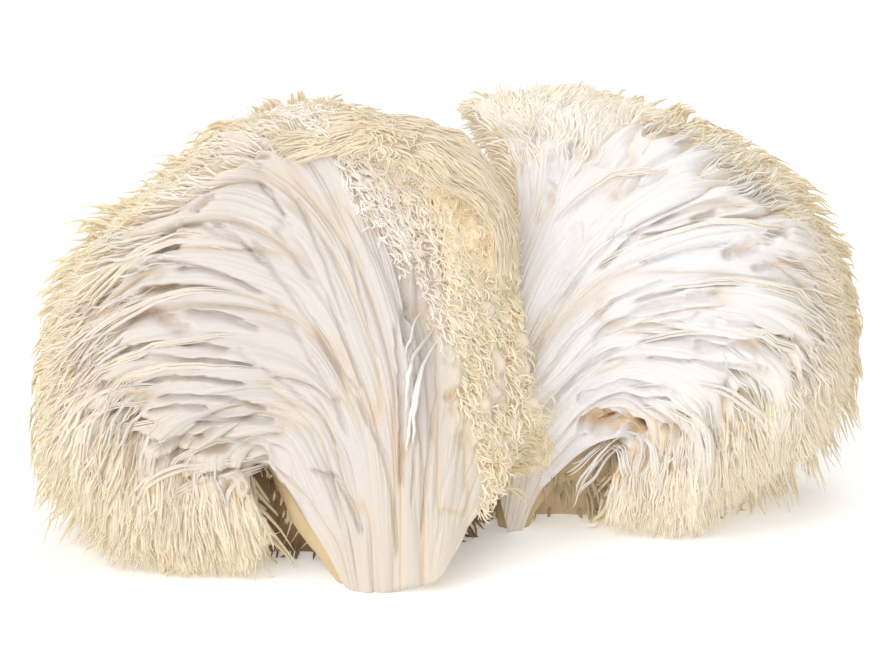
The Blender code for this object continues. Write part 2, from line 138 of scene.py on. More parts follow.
# The overhanging edge of the cap: ribs from its back edge to its front edge
HOOD_RIBS = (
    (292, 110, 300, 120, 312, 132, 326, 150),
    (336, 106, 352, 116, 362, 128, 374, 148),
    (382, 112, 402, 123, 408, 140, 412, 166),
    (424, 120, 444, 135, 446, 154, 446, 184),
    (456, 134, 478, 154, 480, 176, 478, 202),
    (478, 162, 498, 186, 502, 204, 496, 222),
    (492, 200, 508, 222, 510, 240, 500, 252),
    (496, 246, 512, 264, 512, 284, 500, 296),
)
HOOD_DEPTHS = ((0, (46, 34, 24, 18)), (5, (46, 36, 27, 24)), (7, (46, 40, 36, 34)))

# How far the outside lies behind the torn face, in millimetres, by the place along a
# fibre, and as a share of that by the place across the fibres
BACK_PLACES = (0.0, 0.13, 0.26, 0.39, 0.51, 0.62, 0.72, 0.80, 0.86, 0.90)
BACK_ALONG = (8.0, 17.0, 31.0, 43.0, 49.0, 51.0, 49.0, 42.0, 30.0, 15.0)
BACK_ACROSS_PLACES = (0.0, 0.03, 0.08, 0.16, 0.3, 0.8, 1.0)
BACK_ACROSS = (0.3, 0.4, 0.6, 0.8, 1.0, 1.0, 0.6)

# Furrows and hollows of the torn faces: (half breadth in pixels, depth in millimetres,
# the line that it follows)
LEFT_FURROWS = (
    (3.0, 1.6, (257, 243, 280, 280, 293, 297, 310, 325, 340, 375, 355, 395, 367, 420)),
    (2.2, 1.2, (367, 420, 385, 455, 393, 500, 397, 550)),
    (7.0, 2.2, (283, 228, 300, 255, 311, 275)),
    (2.0, 1.6, (313, 470, 335, 480, 350, 505, 360, 530)),
    (5.0, 1.8, (411, 300, 408, 320, 405, 340)),
    (3.0, 1.8, (395, 330, 402, 380, 404, 430, 402, 480)),
    (2.0, 1.0, (330, 300, 345, 340, 362, 385)),
    (2.0, 1.0, (350, 250, 362, 300, 376, 350)),
    (2.0, 1.0, (300, 200, 325, 260, 345, 320)),
    (2.4, 1.0, (270, 300, 300, 340, 325, 385, 345, 430)),
    (2.0, 1.0, (240, 350, 285, 385, 320, 420, 345, 465)),
    (2.0, 0.9, (420, 380, 418, 440, 412, 500)),
    (2.0, 0.9, (440, 400, 432, 460, 422, 530)),
    (6.0, 3.0, (125, 316, 150, 313, 185, 330)),
    (4.0, 3.0, (144, 293, 174, 292)),
    (4.0, 2.6, (155, 248, 172, 244)),
    (4.0, 2.6, (160, 234, 170, 228)),
    (5.0, 2.6, (196, 208, 206, 196)),
    (4.0, 2.6, (246, 146, 254, 138)),
    (5.0, 3.0, (98, 388, 124, 384)),
    (2.4, 2.4, (150, 414, 182, 408, 205, 410)),
    (5.0, 3.0, (120, 424, 150, 428)),
    (4.0, 2.6, (85, 414, 124, 412)),
    (3.0, 2.4, (262, 462, 244, 472, 206, 480, 184, 486)),
    (3.0, 2.2, (200, 440, 160, 446, 130, 440, 110, 452)),
    (3.0, 2.2, (230, 452, 190, 456, 156, 462)),
    (3.0, 2.0, (180, 360, 150, 356, 120, 360)),
    (3.0, 2.0, (200, 270, 170, 262, 140, 262)),
    (3.0, 2.0, (230, 236, 200, 224, 180, 222)),
    (2.4, 2.6, (225, 350, 190, 345, 150, 345, 120, 352)),
    (2.4, 2.6, (240, 385, 200, 378, 165, 378, 135, 388)),
    (2.4, 2.4, (255, 330, 220, 318, 190, 315)),
    (2.4, 2.4, (250, 365, 215, 360, 185, 360)),
    (2.4, 2.4, (262, 415, 225, 400, 190, 398, 160, 400)),
    (2.4, 2.4, (258, 295, 230, 280, 205, 272, 180, 272)),
    (2.4, 2.4, (270, 425, 235, 424, 200, 426)),
    (2.2, 2.2, (262, 262, 240, 240, 215, 222)),
    (2.2, 2.2, (285, 215, 272, 195, 258, 180)),
)
RIGHT_FURROWS = (
    (4.0, 2.4, (580, 132, 586, 142)),
    (5.0, 2.6, (552, 153, 550, 172)),
    (4.0, 2.4, (565, 138, 565, 152)),
    (4.0, 2.4, (545, 182, 545, 198)),
    (4.0, 2.0, (573, 226, 574, 240)),
    (4.0, 2.4, (612, 184, 633, 176)),
    (4.0, 2.6, (697, 221, 715, 214)),
    (4.0, 2.4, (645, 240, 658, 234)),
    (2.4, 1.6, (610, 238, 622, 216)),
    (5.0, 2.6, (600, 335, 640, 310, 680, 302, 715, 293)),
    (6.0, 3.0, (730, 252, 780, 232)),
    (4.0, 2.4, (760, 268, 780, 264)),
    (6.0, 3.2, (735, 346, 780, 345)),
    (4.0, 2.6, (700, 349, 728, 349)),
    (4.0, 2.6, (720, 367, 762, 370)),
    (7.0, 3.2, (708, 442, 722, 450, 735, 458)),
    (6.0, 3.0, (666, 430, 680, 440)),
    (5.0, 2.6, (663, 467, 674, 476)),
    (9.0, 6.0, (590, 426, 610, 424, 630, 432)),
    (2.4, 1.4, (545, 415, 575, 380, 610, 355, 650, 345)),
    (2.4, 1.4, (540, 380, 575, 335, 615, 300, 660, 282)),
    (2.4, 1.2, (535, 350, 560, 305, 590, 265, 620, 235)),
    (3.0, 1.8, (580, 400, 620, 385, 670, 392, 700, 420)),
    (3.0, 1.8, (640, 330, 700, 318, 750, 325, 790, 350)),
    (3.0, 1.6, (560, 270, 585, 225, 625, 182, 655, 174)),
    (2.4, 2.2, (640, 300, 690, 285, 735, 283)),
    (2.4, 2.2, (650, 360, 700, 360, 745, 380)),
    (2.4, 2.2, (645, 262, 690, 248, 725, 243)),
    (2.4, 2.2, (630, 400, 665, 402, 690, 420)),
    (2.2, 2.0, (600, 270, 640, 232, 675, 215)),
    (2.2, 2.0, (640, 345, 690, 338, 725, 338)),
)

# How strong each relief of a torn face is, in millimetres, from the foot to the tips
RELIEF_PLACES = (0.0, 0.2, 0.45, 0.75, 1.0)
HAIR_RELIEF = (0.2, 0.35, 0.6, 0.8, 0.8)
FINE_RELIEF = (0.4, 0.8, 1.4, 2.0, 1.6)
BUNDLE_RELIEF = (0.5, 1.8, 4.2, 6.0, 3.6)
FOLD_RELIEF = (0.3, 1.4, 2.4, 2.6, 1.5)

# How deep the splits between bundles are, and how much painted shade they and the creases
# get: places along the fibres, values
SPLIT_DEPTHS = ((0.36, 0.5, 0.8, 0.95), (0.0, 2.2, 4.4, 2.4))
SPLIT_SHADES = ((0.45, 0.62, 0.85), (0.0, 0.2, 0.6))
CREASE_SHADES = ((0.1, 0.3, 0.55, 0.9), (0.6, 0.3, 0.25, 0.6))

# The four borders of a grid, and the numbers that the noise mixes its cells with
ALL = slice(None)
BORDERS = ((0, ALL), (-1, ALL), (ALL, 0), (ALL, -1))
HASH_START, HASH_MASK = 7919, 0xFFFFFFFF
HASH_FACTORS = (374761393, 2246822, 668265263)


def pixels_of(line: Line) -> Array:
    """The points of a traced line, one row each."""
    return np.array(line, float).reshape(-1, 2)


def smooth(values: Array | float, low: float, high: float) -> Array:
    """Rises smoothly from 0 at low to 1 at high."""
    part = np.clip((np.asarray(values, float) - low) / (high - low), 0, 1)
    return part * part * (3 - 2 * part)


def noise(places: Array, seed: int) -> Array:
    """Smooth random values between -1 and 1 over any number of axes.

    Args:
        places: points, with the axes last; the values change over about one unit.
        seed: picks the pattern.

    Returns:
        One value for each point.
    """
    places = np.asarray(places, float)
    cell = np.floor(places).astype(np.int64)
    part = places - cell
    part = part * part * (3 - 2 * part)
    total = np.zeros(places.shape[:-1])
    for corner in np.ndindex(*(2,) * places.shape[-1]):
        mixed = np.full(total.shape, HASH_START * (seed + 1), np.int64)
        weight = np.ones(total.shape)
        for axis, step in enumerate(corner):
            factor = HASH_FACTORS[0] + HASH_FACTORS[1] * axis
            mixed = (mixed ^ ((cell[..., axis] + step) * factor)) & HASH_MASK
            mixed = (mixed * HASH_FACTORS[2]) & HASH_MASK
            mixed ^= mixed >> 15
            weight = weight * (part[..., axis] if step else 1 - part[..., axis])
        total += weight * (mixed / (HASH_MASK >> 1) - 1)
    return total


def blend(padded: Array, start: Array | tuple, part: Array, pick: tuple = ()) -> Array:
    """The point a part of the way on from a curve point, by that one and its neighbours.

    Args:
        padded: the curve's points, with one more at each end.
        start: the numbers of the points to go on from.
        part: how much of the way to the next one.
        pick: the rows to take, where each has its own curve.

    Returns:
        One point for each number.
    """
    before, here, after, beyond = (padded[(start + k, *pick)] for k in range(4))
    return 0.5 * (
        2 * here
        + (after - before) * part
        + (2 * before - 5 * here + 4 * after - beyond) * part**2
        + (3 * here - before - 3 * after + beyond) * part**3
    )


def lengthened(points: Array) -> Array:
    """The points with one more at each end, straight on."""
    return np.concatenate([2 * points[:1] - points[1:2], points, 2 * points[-1:] - points[-2:-1]])


def spline(points: Array, places: Array) -> Array:
    """Points on the smooth curve through points, which follow each other along axis 0.

    Args:
        points: the curve's points, in rows of any shape.
        places: places on the curve, from 0 at its first point to 1 at its last.

    Returns:
        One row for each place.
    """
    last = len(points) - 1
    spot = np.asarray(places, float) * last
    start = np.clip(spot.astype(int), 0, last - 1)
    part = (spot - start).reshape((-1,) + (1,) * (points.ndim - 1))
    return blend(lengthened(points), start, part)


def spline_rows(rows: Array, places: Array) -> Array:
    """One point on each row's own smooth curve; past its end it goes straight on.

    Args:
        rows: an array of curves, each a row of points.
        places: the place on each row's curve.

    Returns:
        One point for each row.
    """
    last = rows.shape[1] - 1
    spot = np.asarray(places, float) * last
    beyond = np.maximum(spot - last, 0)[:, None]
    spot = np.clip(spot, 0, last)
    start = np.clip(spot.astype(int), 0, last - 1)
    padded = lengthened(rows.swapaxes(0, 1))
    point = blend(padded, start, (spot - start)[:, None], (np.arange(len(rows)),))
    return point + beyond * (rows[:, -1] - rows[:, -2])


def unit(vectors: Array) -> Array:
    """The vectors at length 1."""
    return vectors / np.maximum(np.linalg.norm(vectors, axis=-1, keepdims=True), 1e-9)


def lengths(vectors: Array) -> Array:
    """How long the vectors are, in millimetres."""
    return np.linalg.norm(vectors, axis=-1) / MM


def placed(name: str, data: bpy.types.ID) -> Object:
    """A new object in the scene."""
    made = bpy.data.objects.new(name, data)
    bpy.context.scene.collection.objects.link(made)
    return made


@dataclass(frozen=True)
class Eye:
    """The photograph's viewpoint, which the traced pixels are seen from."""

    width: int = 886
    height: int = 647
    distance: float = 0.72
    elevation: float = math.radians(15)
    object_width: float = 0.200
    object_pixels: float = 813.0
    foot_row: float = 593.0
    sight_depth: float = 0.040
    middle: Pair = (0.0024, 0.0557)
    sensor: float = 36.0

    @property
    def focal(self) -> float:
        """The focal length in pixels."""
        return self.distance / (self.object_width / self.object_pixels)

    @property
    def tilt(self) -> Pair:
        """The elevation's sine and cosine."""
        return math.sin(self.elevation), math.cos(self.elevation)

    @property
    def aim_height(self) -> float:
        """How high the middle of the picture meets the plane at the sight depth."""
        sine, cosine = self.tilt
        slope = (self.foot_row - self.height / 2) / self.focal
        down = slope * (self.distance - self.sight_depth * cosine) - self.sight_depth * sine
        return down / (cosine - slope * sine)

    def place(self, traced: Array | tuple) -> Array:
        """The points seen at (column, row) pixels, at depths in millimetres.

        Args:
            traced: an array whose last axis holds column, row and depth.

        Returns:
            The points in metres.
        """
        traced = np.asarray(traced, float)
        sine, cosine = self.tilt
        depth = traced[..., 2] * MM
        across = (traced[..., 0] - self.width / 2) / self.focal
        up = (self.height / 2 - traced[..., 1]) / self.focal
        reach = (depth - self.sight_depth + self.distance * cosine) / (cosine + up * sine)
        height = self.aim_height + self.distance * sine + reach * (up * cosine - sine)
        return np.stack([reach * across - self.middle[0], depth - self.middle[1], height], axis=-1)

    def camera(self) -> Object:
        """The camera at the viewpoint."""
        data = bpy.data.cameras.new("photo_view")
        data.sensor_width = self.sensor
        data.lens = self.focal / self.width * self.sensor
        aim = Vector((-self.middle[0], self.sight_depth - self.middle[1], self.aim_height))
        back = Vector((0, -self.tilt[1], self.tilt[0]))
        camera = placed("photo_view", data)
        camera.location = aim + self.distance * back
        camera.rotation_euler = back.to_track_quat("Z", "Y").to_euler()
        bpy.context.scene.camera = camera
        return camera


EYE = Eye()


@dataclass(frozen=True)
class FibreSheet:
    """A face of flesh, by the fibres traced along it and how deep they lie."""

    fibres: tuple[Line, ...]
    depths: tuple
    step: float = 0.004

    def traced(self) -> Array:
        """Column, row and depth of every traced point."""
        firsts = [first for first, _ in self.depths]
        table = np.array([row for _, row in self.depths], float)
        places = np.arange(len(self.fibres))
        deep = np.stack([np.interp(places, firsts, column) for column in table.T], axis=1)
        return np.dstack([np.array([pixels_of(line) for line in self.fibres]), deep])

    def pixels(self, across: Array, along: Array) -> Array:
        """Column, row and depth on the fibres, or straight on past them.

        Args:
            across: places across the fibres, from 0 to 1 between the first and the last.
            along: places along them, from 0 at the foot to 1 at the tips.

        Returns:
            Column, row and depth of each place.
        """
        held = np.clip(across, 0, 1)
        traced, flat = self.traced(), np.asarray(along).ravel()
        pixels = spline_rows(spline(traced, held.ravel()), flat)
        over = (across - held).ravel()
        if np.any(over):
            near = held.ravel() - self.step * np.sign(over)
            slope = (pixels - spline_rows(spline(traced, near), flat)) / self.step
            pixels = pixels + np.abs(over)[:, None] * slope
        return pixels.reshape(np.shape(across) + (3,))

    def at(self, across: Array, along: Array, extra: Array | float = 0.0) -> Array:
        """The points at places across and along the fibres, extra millimetres behind."""
        pixels = self.pixels(across, along)
        pixels[..., 2] += extra
        return EYE.place(pixels)

    def slopes(self, across: Array, along: Array, extra: Array | float = 0.0) -> Arrays:
        """How the points move for one unit across, and for one along.

        Args:
            across: places across the fibres.
            along: places along the fibres.
            extra: how far behind the face they are, in millimetres.

        Returns:
            Both slopes in metres.
        """
        step = self.step
        sideways = self.at(across + step, along, extra) - self.at(across - step, along, extra)
        onward = self.at(across, along + step, extra) - self.at(across, along - step, extra)
        return sideways / (2 * step), onward / (2 * step)

    def outward(self, across: Array, along: Array) -> Array:
        """The face's direction, towards the viewer."""
        sideways, onward = self.slopes(across, along)
        return unit(np.cross(onward, sideways)) * self.facing

    @property
    def facing(self) -> float:
        """1 or -1, so that outward looks to the viewer."""
        places = np.linspace(0.2, 0.8, 7)
        sideways, onward = self.slopes(places, np.full(7, 0.4))
        return -1.0 if np.cross(onward, sideways)[:, 1].mean() > 0 else 1.0


class Tree:
    """Adds nodes to a node tree, linking what is a socket and setting what is a value."""

    def __init__(self, tree: NodeTree) -> None:
        """Keeps the tree."""
        self.tree = tree

    def feed(self, node: Node, inputs: dict) -> Node:
        """Links or sets a node's inputs.

        Args:
            node: the node.
            inputs: a socket or a value for each input, by its name or number.

        Returns:
            The node.
        """
        for key, value in inputs.items():
            if isinstance(value, Socket):
                self.tree.links.new(value, node.inputs[key])
            else:
                node.inputs[key].default_value = value
        return node

    def add(self, kind: str, inputs: dict | None = None, **settings: object) -> Node:
        """Adds a node.

        Args:
            kind: Blender's name for the node's type.
            inputs: a socket or a value for each input, by its name or number.
            settings: the node's own settings.

        Returns:
            The node.
        """
        node = self.tree.nodes.new(kind)
        for name, value in settings.items():
            setattr(node, name, value)
        return self.feed(node, inputs or {})

    def math(self, operation: str, *values: object) -> Socket:
        """The result of a Math node."""
        return self.add("ShaderNodeMath", dict(enumerate(values)), operation=operation).outputs[0]

    def mix(self, share: object, first: object, second: object) -> Socket:
        """A colour between two colours."""
        inputs = {0: share, 6: first, 7: second}
        return self.add("ShaderNodeMix", inputs, data_type="RGBA").outputs[2]

    def span(self, value: object, old: Pair, new: Pair) -> Socket:
        """A value moved from one range to another, held inside it."""
        inputs = dict(enumerate((value, *old, *new)))
        return self.add("ShaderNodeMapRange", inputs, clamp=True).outputs[0]

    def texture(self, place: object, scale: float, detail: float) -> Socket:
        """The values of a Noise Texture."""
        inputs = {"Vector": place, "Scale": scale, "Detail": detail}
        return self.add("ShaderNodeTexNoise", inputs).outputs[0]

    def attribute(self, name: str) -> Socket:
        """The value that the mesh holds under a name."""
        return self.add("ShaderNodeAttribute", attribute_name=name).outputs["Fac"]


def colour(red: int, green: int, blue: int) -> tuple[float, float, float, float]:
    """A colour as a shader takes it.

    Args:
        red: its sRGB value on a screen, from 0 to 255.
        green: the same for green.
        blue: the same for blue.

    Returns:
        Its linear values, and 1 for opaque.
    """
    linear = [
        ((c / 255 + 0.055) / 1.055) ** 2.4 if c > 10 else c / 255 / 12.92
        for c in (red, green, blue)
    ]
    return (*linear, 1.0)


@dataclass(frozen=True)
class Finish:
    """Living mushroom tissue: pale inside, creamier where it has ripened.

    The mesh holds ripe, from 0 inside to 1 at the rim, a share of painted shade, which
    mixes in a warm tan shade colour, brown where deepest, in cavities, creases, pits, at
    spine roots and under things, and tone, one random value for each spine. A faint even
    emission on most finishes is painted light that lifts their shaded gaps.
    """

    name: str
    young: Screen
    ripe: Screen
    hollow: Screen
    painted_glow: float = 0.0
    grain_size: Triple = (900.0, 900.0, 120.0)
    bump: float = 0.25
    bump_height: float = 0.0006
    roughness: float = 0.62
    shine: float = 0.3
    scatter: float = 0.0
    scatter_radius: Triple = (1.0, 0.7, 0.45)
    scatter_scale: float = 0.0015
    coordinate: str = "Object"
    painted_glow_tint: Triple = (1.0, 0.87, 0.65)
    deep_shade_colour: Screen = (128, 78, 34)
    patch_scale: float = 60.0
    mottle: float = 0.14
    tones: float = 0.3
    streaks: float = 0.16

    def build(self) -> bpy.types.Material:
        """Builds the material.

        Returns:
            The material, which reads the mesh's own attributes.
        """
        material = bpy.data.materials.new(self.name)
        material.use_nodes = True
        tree = Tree(material.node_tree)
        young, ripe, deep_shade_colour = colour(*self.young), colour(*self.ripe), colour(*self.deep_shade_colour)
        place = tree.add("ShaderNodeTexCoord").outputs[self.coordinate]
        stretched = tree.add("ShaderNodeMapping", {"Vector": place, "Scale": self.grain_size})
        grain = tree.texture(stretched.outputs[0], 1.0, 4.0)
        own = tree.add("ShaderNodeTexCoord").outputs["Object"]
        patches = tree.texture(own, self.patch_scale, 3.0)
        mottle = tree.span(patches, (0.3, 0.7), (-self.mottle, self.mottle))
        tone = tree.math("SUBTRACT", tree.attribute("tone"), 0.5)
        tone = tree.math("MULTIPLY", tone, self.tones)
        age = tree.math("ADD", tree.attribute("ripe"), tree.math("ADD", mottle, tone))
        age = tree.math("MAXIMUM", tree.math("MINIMUM", age, 1.0), 0.0)
        flesh = tree.mix(age, young, ripe)
        # Painted shade: streaks along the grain stand in for shade between the fibres, the mesh's
        # share of painted shade mixes in the shade colour, and the deepest shade turns brown.
        streak = tree.span(grain, (0.4, 0.8), (0.0, self.streaks))
        for share in (streak, tree.attribute("hollow")):
            flesh = tree.mix(share, flesh, colour(*self.hollow))
        deepest = tree.span(tree.attribute("hollow"), (0.9, 1.0), (0.0, 0.8))
        relief = {"Height": grain, "Strength": self.bump, "Distance": self.bump_height}
        tree.feed(material.node_tree.nodes["Principled BSDF"], {
            "Base Color": tree.mix(deepest, flesh, deep_shade_colour),
            "Normal": tree.add("ShaderNodeBump", relief).outputs[0],
            "Roughness": self.roughness,
            "Specular IOR Level": self.shine,
            "Subsurface Weight": self.scatter,
            "Subsurface Radius": self.scatter_radius,
            "Subsurface Scale": self.scatter_scale,
            # Painted light: an even warm emission that lifts the shaded gaps, as light through the
            # tissue would.
            "Emission Color": (*self.painted_glow_tint, 1.0),
            "Emission Strength": self.painted_glow,
        })
        return material


def face_finish(name: str, young: Screen, ripe: Screen, hollow: Screen, painted_glow: float) -> Finish:
    """The finish of a torn face, whose grain runs along its fibres."""
    grain = (3000.0, 90.0, 1.0)
    return Finish(name, young, ripe, hollow, painted_glow, grain, 0.4, scatter=0.15, coordinate="UV")


class Kind(Enum):
    """The finishes of the mushroom's tissues."""

    # Each finish gives young, ripe and painted shade colours, then the strength of its painted
    # glow, an even warm emission that lightens its shaded gaps.
    LEFT_FLESH = face_finish("left_flesh", (219, 212, 207), (224, 211, 188), (218, 188, 142), 0.0)
    RIGHT_FLESH = face_finish(
        "right_flesh", (234, 232, 234), (234, 224, 208), (228, 202, 162), 0.02)
    LEFT_SPINES = Finish("left_spines", (225, 219, 211), (227, 215, 188), (222, 190, 138), 0.15)
    RIGHT_SPINES = Finish("right_spines", (231, 228, 224), (232, 223, 203), (226, 198, 152), 0.15)
    LEFT_STRANDS = Finish("left_strands", (226, 219, 214), (229, 216, 192), (222, 190, 142), 0.04)
    RIGHT_STRANDS = Finish("right_strands", (233, 231, 230), (233, 222, 202), (224, 196, 152), 0.04)
    OUTER_SPINES = Finish("outer_spines", (229, 218, 194), (227, 211, 178), (210, 178, 124), 0.12)
    HOOD = Finish("hood", (230, 221, 203), (228, 214, 187), (216, 186, 138), 0.1)
    SHREDS = Finish("shreds", (226, 223, 219), (227, 216, 195), (222, 196, 156), 0.27,
                    painted_glow_tint=(1.0, 0.93, 0.84))
    CURD = Finish("curd", (226, 220, 206), (226, 213, 182), (222, 194, 142), 0.24, bump=0.3)
    SKIN = Finish("stem_skin", (220, 204, 172), (212, 190, 148), (170, 132, 84), 0.0,
                  (500.0, 500.0, 60.0), scatter=0.2)
    UNDERSIDE = Finish("underside", (230, 216, 188), (222, 202, 164), (118, 82, 38), 0.02)

    def material(self) -> bpy.types.Material:
        """This finish's material, made on its first use."""
        return bpy.data.materials.get(self.value.name) or self.value.build()


def piece(name: str, mesh: Mesh, finish: Kind) -> Object:
    """Makes a mesh a piece of the mushroom.

    Args:
        name: the piece's name.
        mesh: its mesh, in place.
        finish: what its surface looks like.

    Returns:
        The piece, which rides with the mushroom and stands for its solid.
    """
    mesh.materials.clear()
    mesh.materials.append(finish.material())
    made = placed(name, mesh)
    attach(made, BODY)
    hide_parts(NODE)
    LOG.info("%s: %d triangles", name, sum(len(face.vertices) - 2 for face in mesh.polygons))
    return made


def store(mesh: Mesh, **values: Array | float) -> None:
    """Keeps values on the mesh's points.

    Args:
        mesh: the mesh.
        values: by name, one value for each point or one for all.
    """
    for name, numbers in values.items():
        numbers = np.asarray(numbers, float)
        flat = np.full(len(mesh.vertices), numbers) if numbers.ndim == 0 else numbers.ravel()
        kept = mesh.attributes.new(name, "FLOAT", "POINT")
        kept.data.foreach_set("value", np.ascontiguousarray(flat, np.float32))


def grid_faces(number: Array, turned: bool = False) -> list[list[int]]:
    """The quads of a grid.

    Args:
        number: the numbers of its points.
        turned: whether they look the other way.

    Returns:
        Four numbers for each quad.
    """
    near, right, far, left = number[:-1, :-1], number[1:, :-1], number[1:, 1:], number[:-1, 1:]
    corners = [near, left, far, right] if turned else [near, right, far, left]
    return np.stack(corners, -1).reshape(-1, 4).tolist()


def stitched(fine: Array, coarse: Array, ratio: int) -> list[list[int]]:
    """Triangles between an edge and one with fewer points.

    Args:
        fine: the first edge's points.
        coarse: the second's.
        ratio: how many steps of the first go into one of the second.

    Returns:
        Three numbers for each triangle.
    """
    faces = []
    for k in range(len(coarse) - 1):
        near, next_one = int(coarse[k]), int(coarse[k + 1])
        run = fine[k * ratio : (k + 1) * ratio + 1].tolist()
        half = ratio // 2
        faces += [[run[j], run[j + 1], near if j < half else next_one] for j in range(ratio)]
        faces.append([run[half], next_one, near])
    return faces


def mesh_of(name: str, points: Array, faces: list) -> Mesh:
    """A smooth closed mesh, its faces outwards.

    Args:
        name: the mesh's name.
        points: its points.
        faces: the numbers of each face's points.

    Returns:
        The mesh.
    """
    mesh = bpy.data.meshes.new(name)
    mesh.from_pydata(points.reshape(-1, 3).tolist(), [], faces)
    shape = bmesh.new()
    shape.from_mesh(mesh)
    bmesh.ops.recalc_face_normals(shape, faces=shape.faces)
    if shape.calc_volume(signed=True) < 0:
        bmesh.ops.reverse_faces(shape, faces=shape.faces)
    shape.to_mesh(mesh)
    shape.free()
    mesh.shade_smooth()
    return mesh


def ball(name: str, middle: Array, radii: Array, swell: Callable[[Array], Array]) -> tuple:
    """A lumpy ball that ends at the floor.

    Args:
        name: the mesh's name.
        middle: its middle.
        radii: its radii along the axes.
        swell: tells how far points of the surface stand out, in millimetres.

    Returns:
        The mesh, its points and how far each of them stands out.
    """
    shape = bmesh.new()
    bmesh.ops.create_icosphere(shape, subdivisions=5, radius=1.0)
    round_one = np.array([corner.co for corner in shape.verts])
    points = middle + round_one * radii
    out = swell(points)
    points += round_one * out[:, None] * MM
    points[:, 2] = np.maximum(points[:, 2], 0.0)
    for corner, point in zip(shape.verts, points):
        corner.co = point
    mesh = bpy.data.meshes.new(name)
    shape.to_mesh(mesh)
    shape.free()
    mesh.shade_smooth()
    return mesh, points, out


@dataclass
class Spines:
    """A coat of soft spines, each a tapered tube along its own path.

    Paths that leave the solid's box bend over its margin, and those that reach below
    the floor come up a little instead.
    """

    name: str
    paths: Array
    girths: Array
    ripe: Array
    finish: Kind
    sides: int = 3
    seed: int = 1
    root_shade: float = 0.85
    shade: Array | float = 0.0
    margin: Triple = (0.0025, 0.0010, 0.0012)
    soft: float = 0.004
    floor: float = 0.0006
    deepest: float = 0.01
    rise: float = 0.06
    root: float = 0.4

    def excess(self, beyond: Array) -> Array:
        """How far points come back that lie beyond the place where the bend starts."""
        over = np.maximum(beyond, 0)
        return over - self.soft * np.tanh(over / self.soft)

    def kept_inside(self) -> Array:
        """The paths, bent to end inside the solid's box and above the floor."""
        paths = self.paths.copy()
        low, high = (np.array([*corner]) for corner in CAD_BOX)
        for axis in range(3):
            top = high[axis] + self.margin[axis] - self.soft
            paths[..., axis] -= self.excess(paths[..., axis] - top)
            if axis < 2:
                bottom = low[axis] - self.margin[axis] + self.soft
                paths[..., axis] += self.excess(bottom - paths[..., axis])
        height = paths[..., 2]
        raised = self.floor + self.rise * (self.floor - height).clip(0, self.deepest)
        paths[..., 2] = np.where(height < self.floor, raised, height)
        return paths

    def tree(self) -> NodeTree:
        """The nodes that turn lines into tapered tubes.

        Returns:
            A tree whose inputs are the lines, the sides and the material.
        """
        group = bpy.data.node_groups.new(f"{self.name} tubes", "GeometryNodeTree")
        for name, way, kind in (
            ("Lines", "INPUT", "Geometry"),
            ("Sides", "INPUT", "Int"),
            ("Finish", "INPUT", "Material"),
            ("Tubes", "OUTPUT", "Geometry"),
        ):
            group.interface.new_socket(name, in_out=way, socket_type=f"NodeSocket{kind}")
        tree = Tree(group)
        given = tree.add("NodeGroupInput").outputs

        def step(kind: str, *inputs: object, **settings: object) -> Socket:
            """The first output of a geometry node, whose first inputs are given."""
            values = {k: value for k, value in enumerate(inputs) if value is not None}
            return tree.add(f"GeometryNode{kind}", values, **settings).outputs[0]

        curves = step("MeshToCurve", given["Lines"])
        ring = step("CurvePrimitiveCircle", given["Sides"], None, None, None, 1.0)
        girth = step("InputNamedAttribute", "girth", data_type="FLOAT")
        tubes = step("CurveToMesh", curves, ring, girth, True)
        real = step("RealizeInstances", step("SetShadeSmooth", tubes, None, True))
        tree.add("NodeGroupOutput", {0: step("SetMaterial", real, None, given["Finish"])})
        return group

    def build(self) -> Object:
        """Makes the coat.

        Returns:
            The coat as one piece.
        """
        count, length, _ = self.paths.shape
        numbers = np.arange(count * length).reshape(count, length)
        edges = np.stack([numbers[:, :-1], numbers[:, 1:]], axis=-1).reshape(-1, 2)
        lines = bpy.data.meshes.new(f"{self.name} lines")
        lines.from_pydata(self.kept_inside().reshape(-1, 3).tolist(), edges.tolist(), [])
        tone = np.random.default_rng(self.seed).uniform(0, 1, count)
        # Painted shade at the roots, fading along the first part of each spine, stands in for the
        # shade down in the coat; shade adds more.
        roots = np.clip(1 - np.linspace(0, 1, length) / self.root, 0, 1) * self.root_shade
        store(
            lines,
            girth=self.girths,
            ripe=np.broadcast_to(self.ripe, (count, length)),
            tone=np.repeat(tone, length),
            hollow=np.broadcast_to(np.maximum(roots, self.shade), (count, length)),
        )
        holder = placed(f"{self.name} lines", lines)
        group = self.tree()
        modifier = holder.modifiers.new("tubes", "NODES")
        modifier.node_group = group
        sockets = {item.name: item.identifier for item in group.interface.items_tree}
        modifier[sockets["Sides"]] = self.sides
        modifier[sockets["Finish"]] = self.finish.material()
        graph = bpy.context.evaluated_depsgraph_get()
        mesh = bpy.data.meshes.new_from_object(holder.evaluated_get(graph))
        holder.modifiers.clear()
        bpy.data.objects.remove(holder)
        return piece(self.name, mesh, self.finish)


# How thick a spine, a hanging drop and a strand are along their length: places, shares
TAPER = ((0.0, 0.2, 0.5, 0.8, 0.93, 1.0), (0.5, 1.0, 0.92, 0.6, 0.32, 0.1))
DROP_TAPER = ((0.0, 0.2, 0.5, 0.8, 0.93, 1.0), (0.5, 0.85, 1.0, 0.85, 0.5, 0.1))
STRAND_TAPER = ((0.0, 0.2, 0.5, 0.72, 0.9, 1.0), (0.05, 0.25, 0.8, 1.0, 0.6, 0.12))


def tapered(thickest: Array, t: Array, taper: tuple = TAPER) -> Array:
    """Radii at places t along spines, from the greatest of each in millimetres."""
    return thickest[:, None] * np.interp(t, *taper) * MM


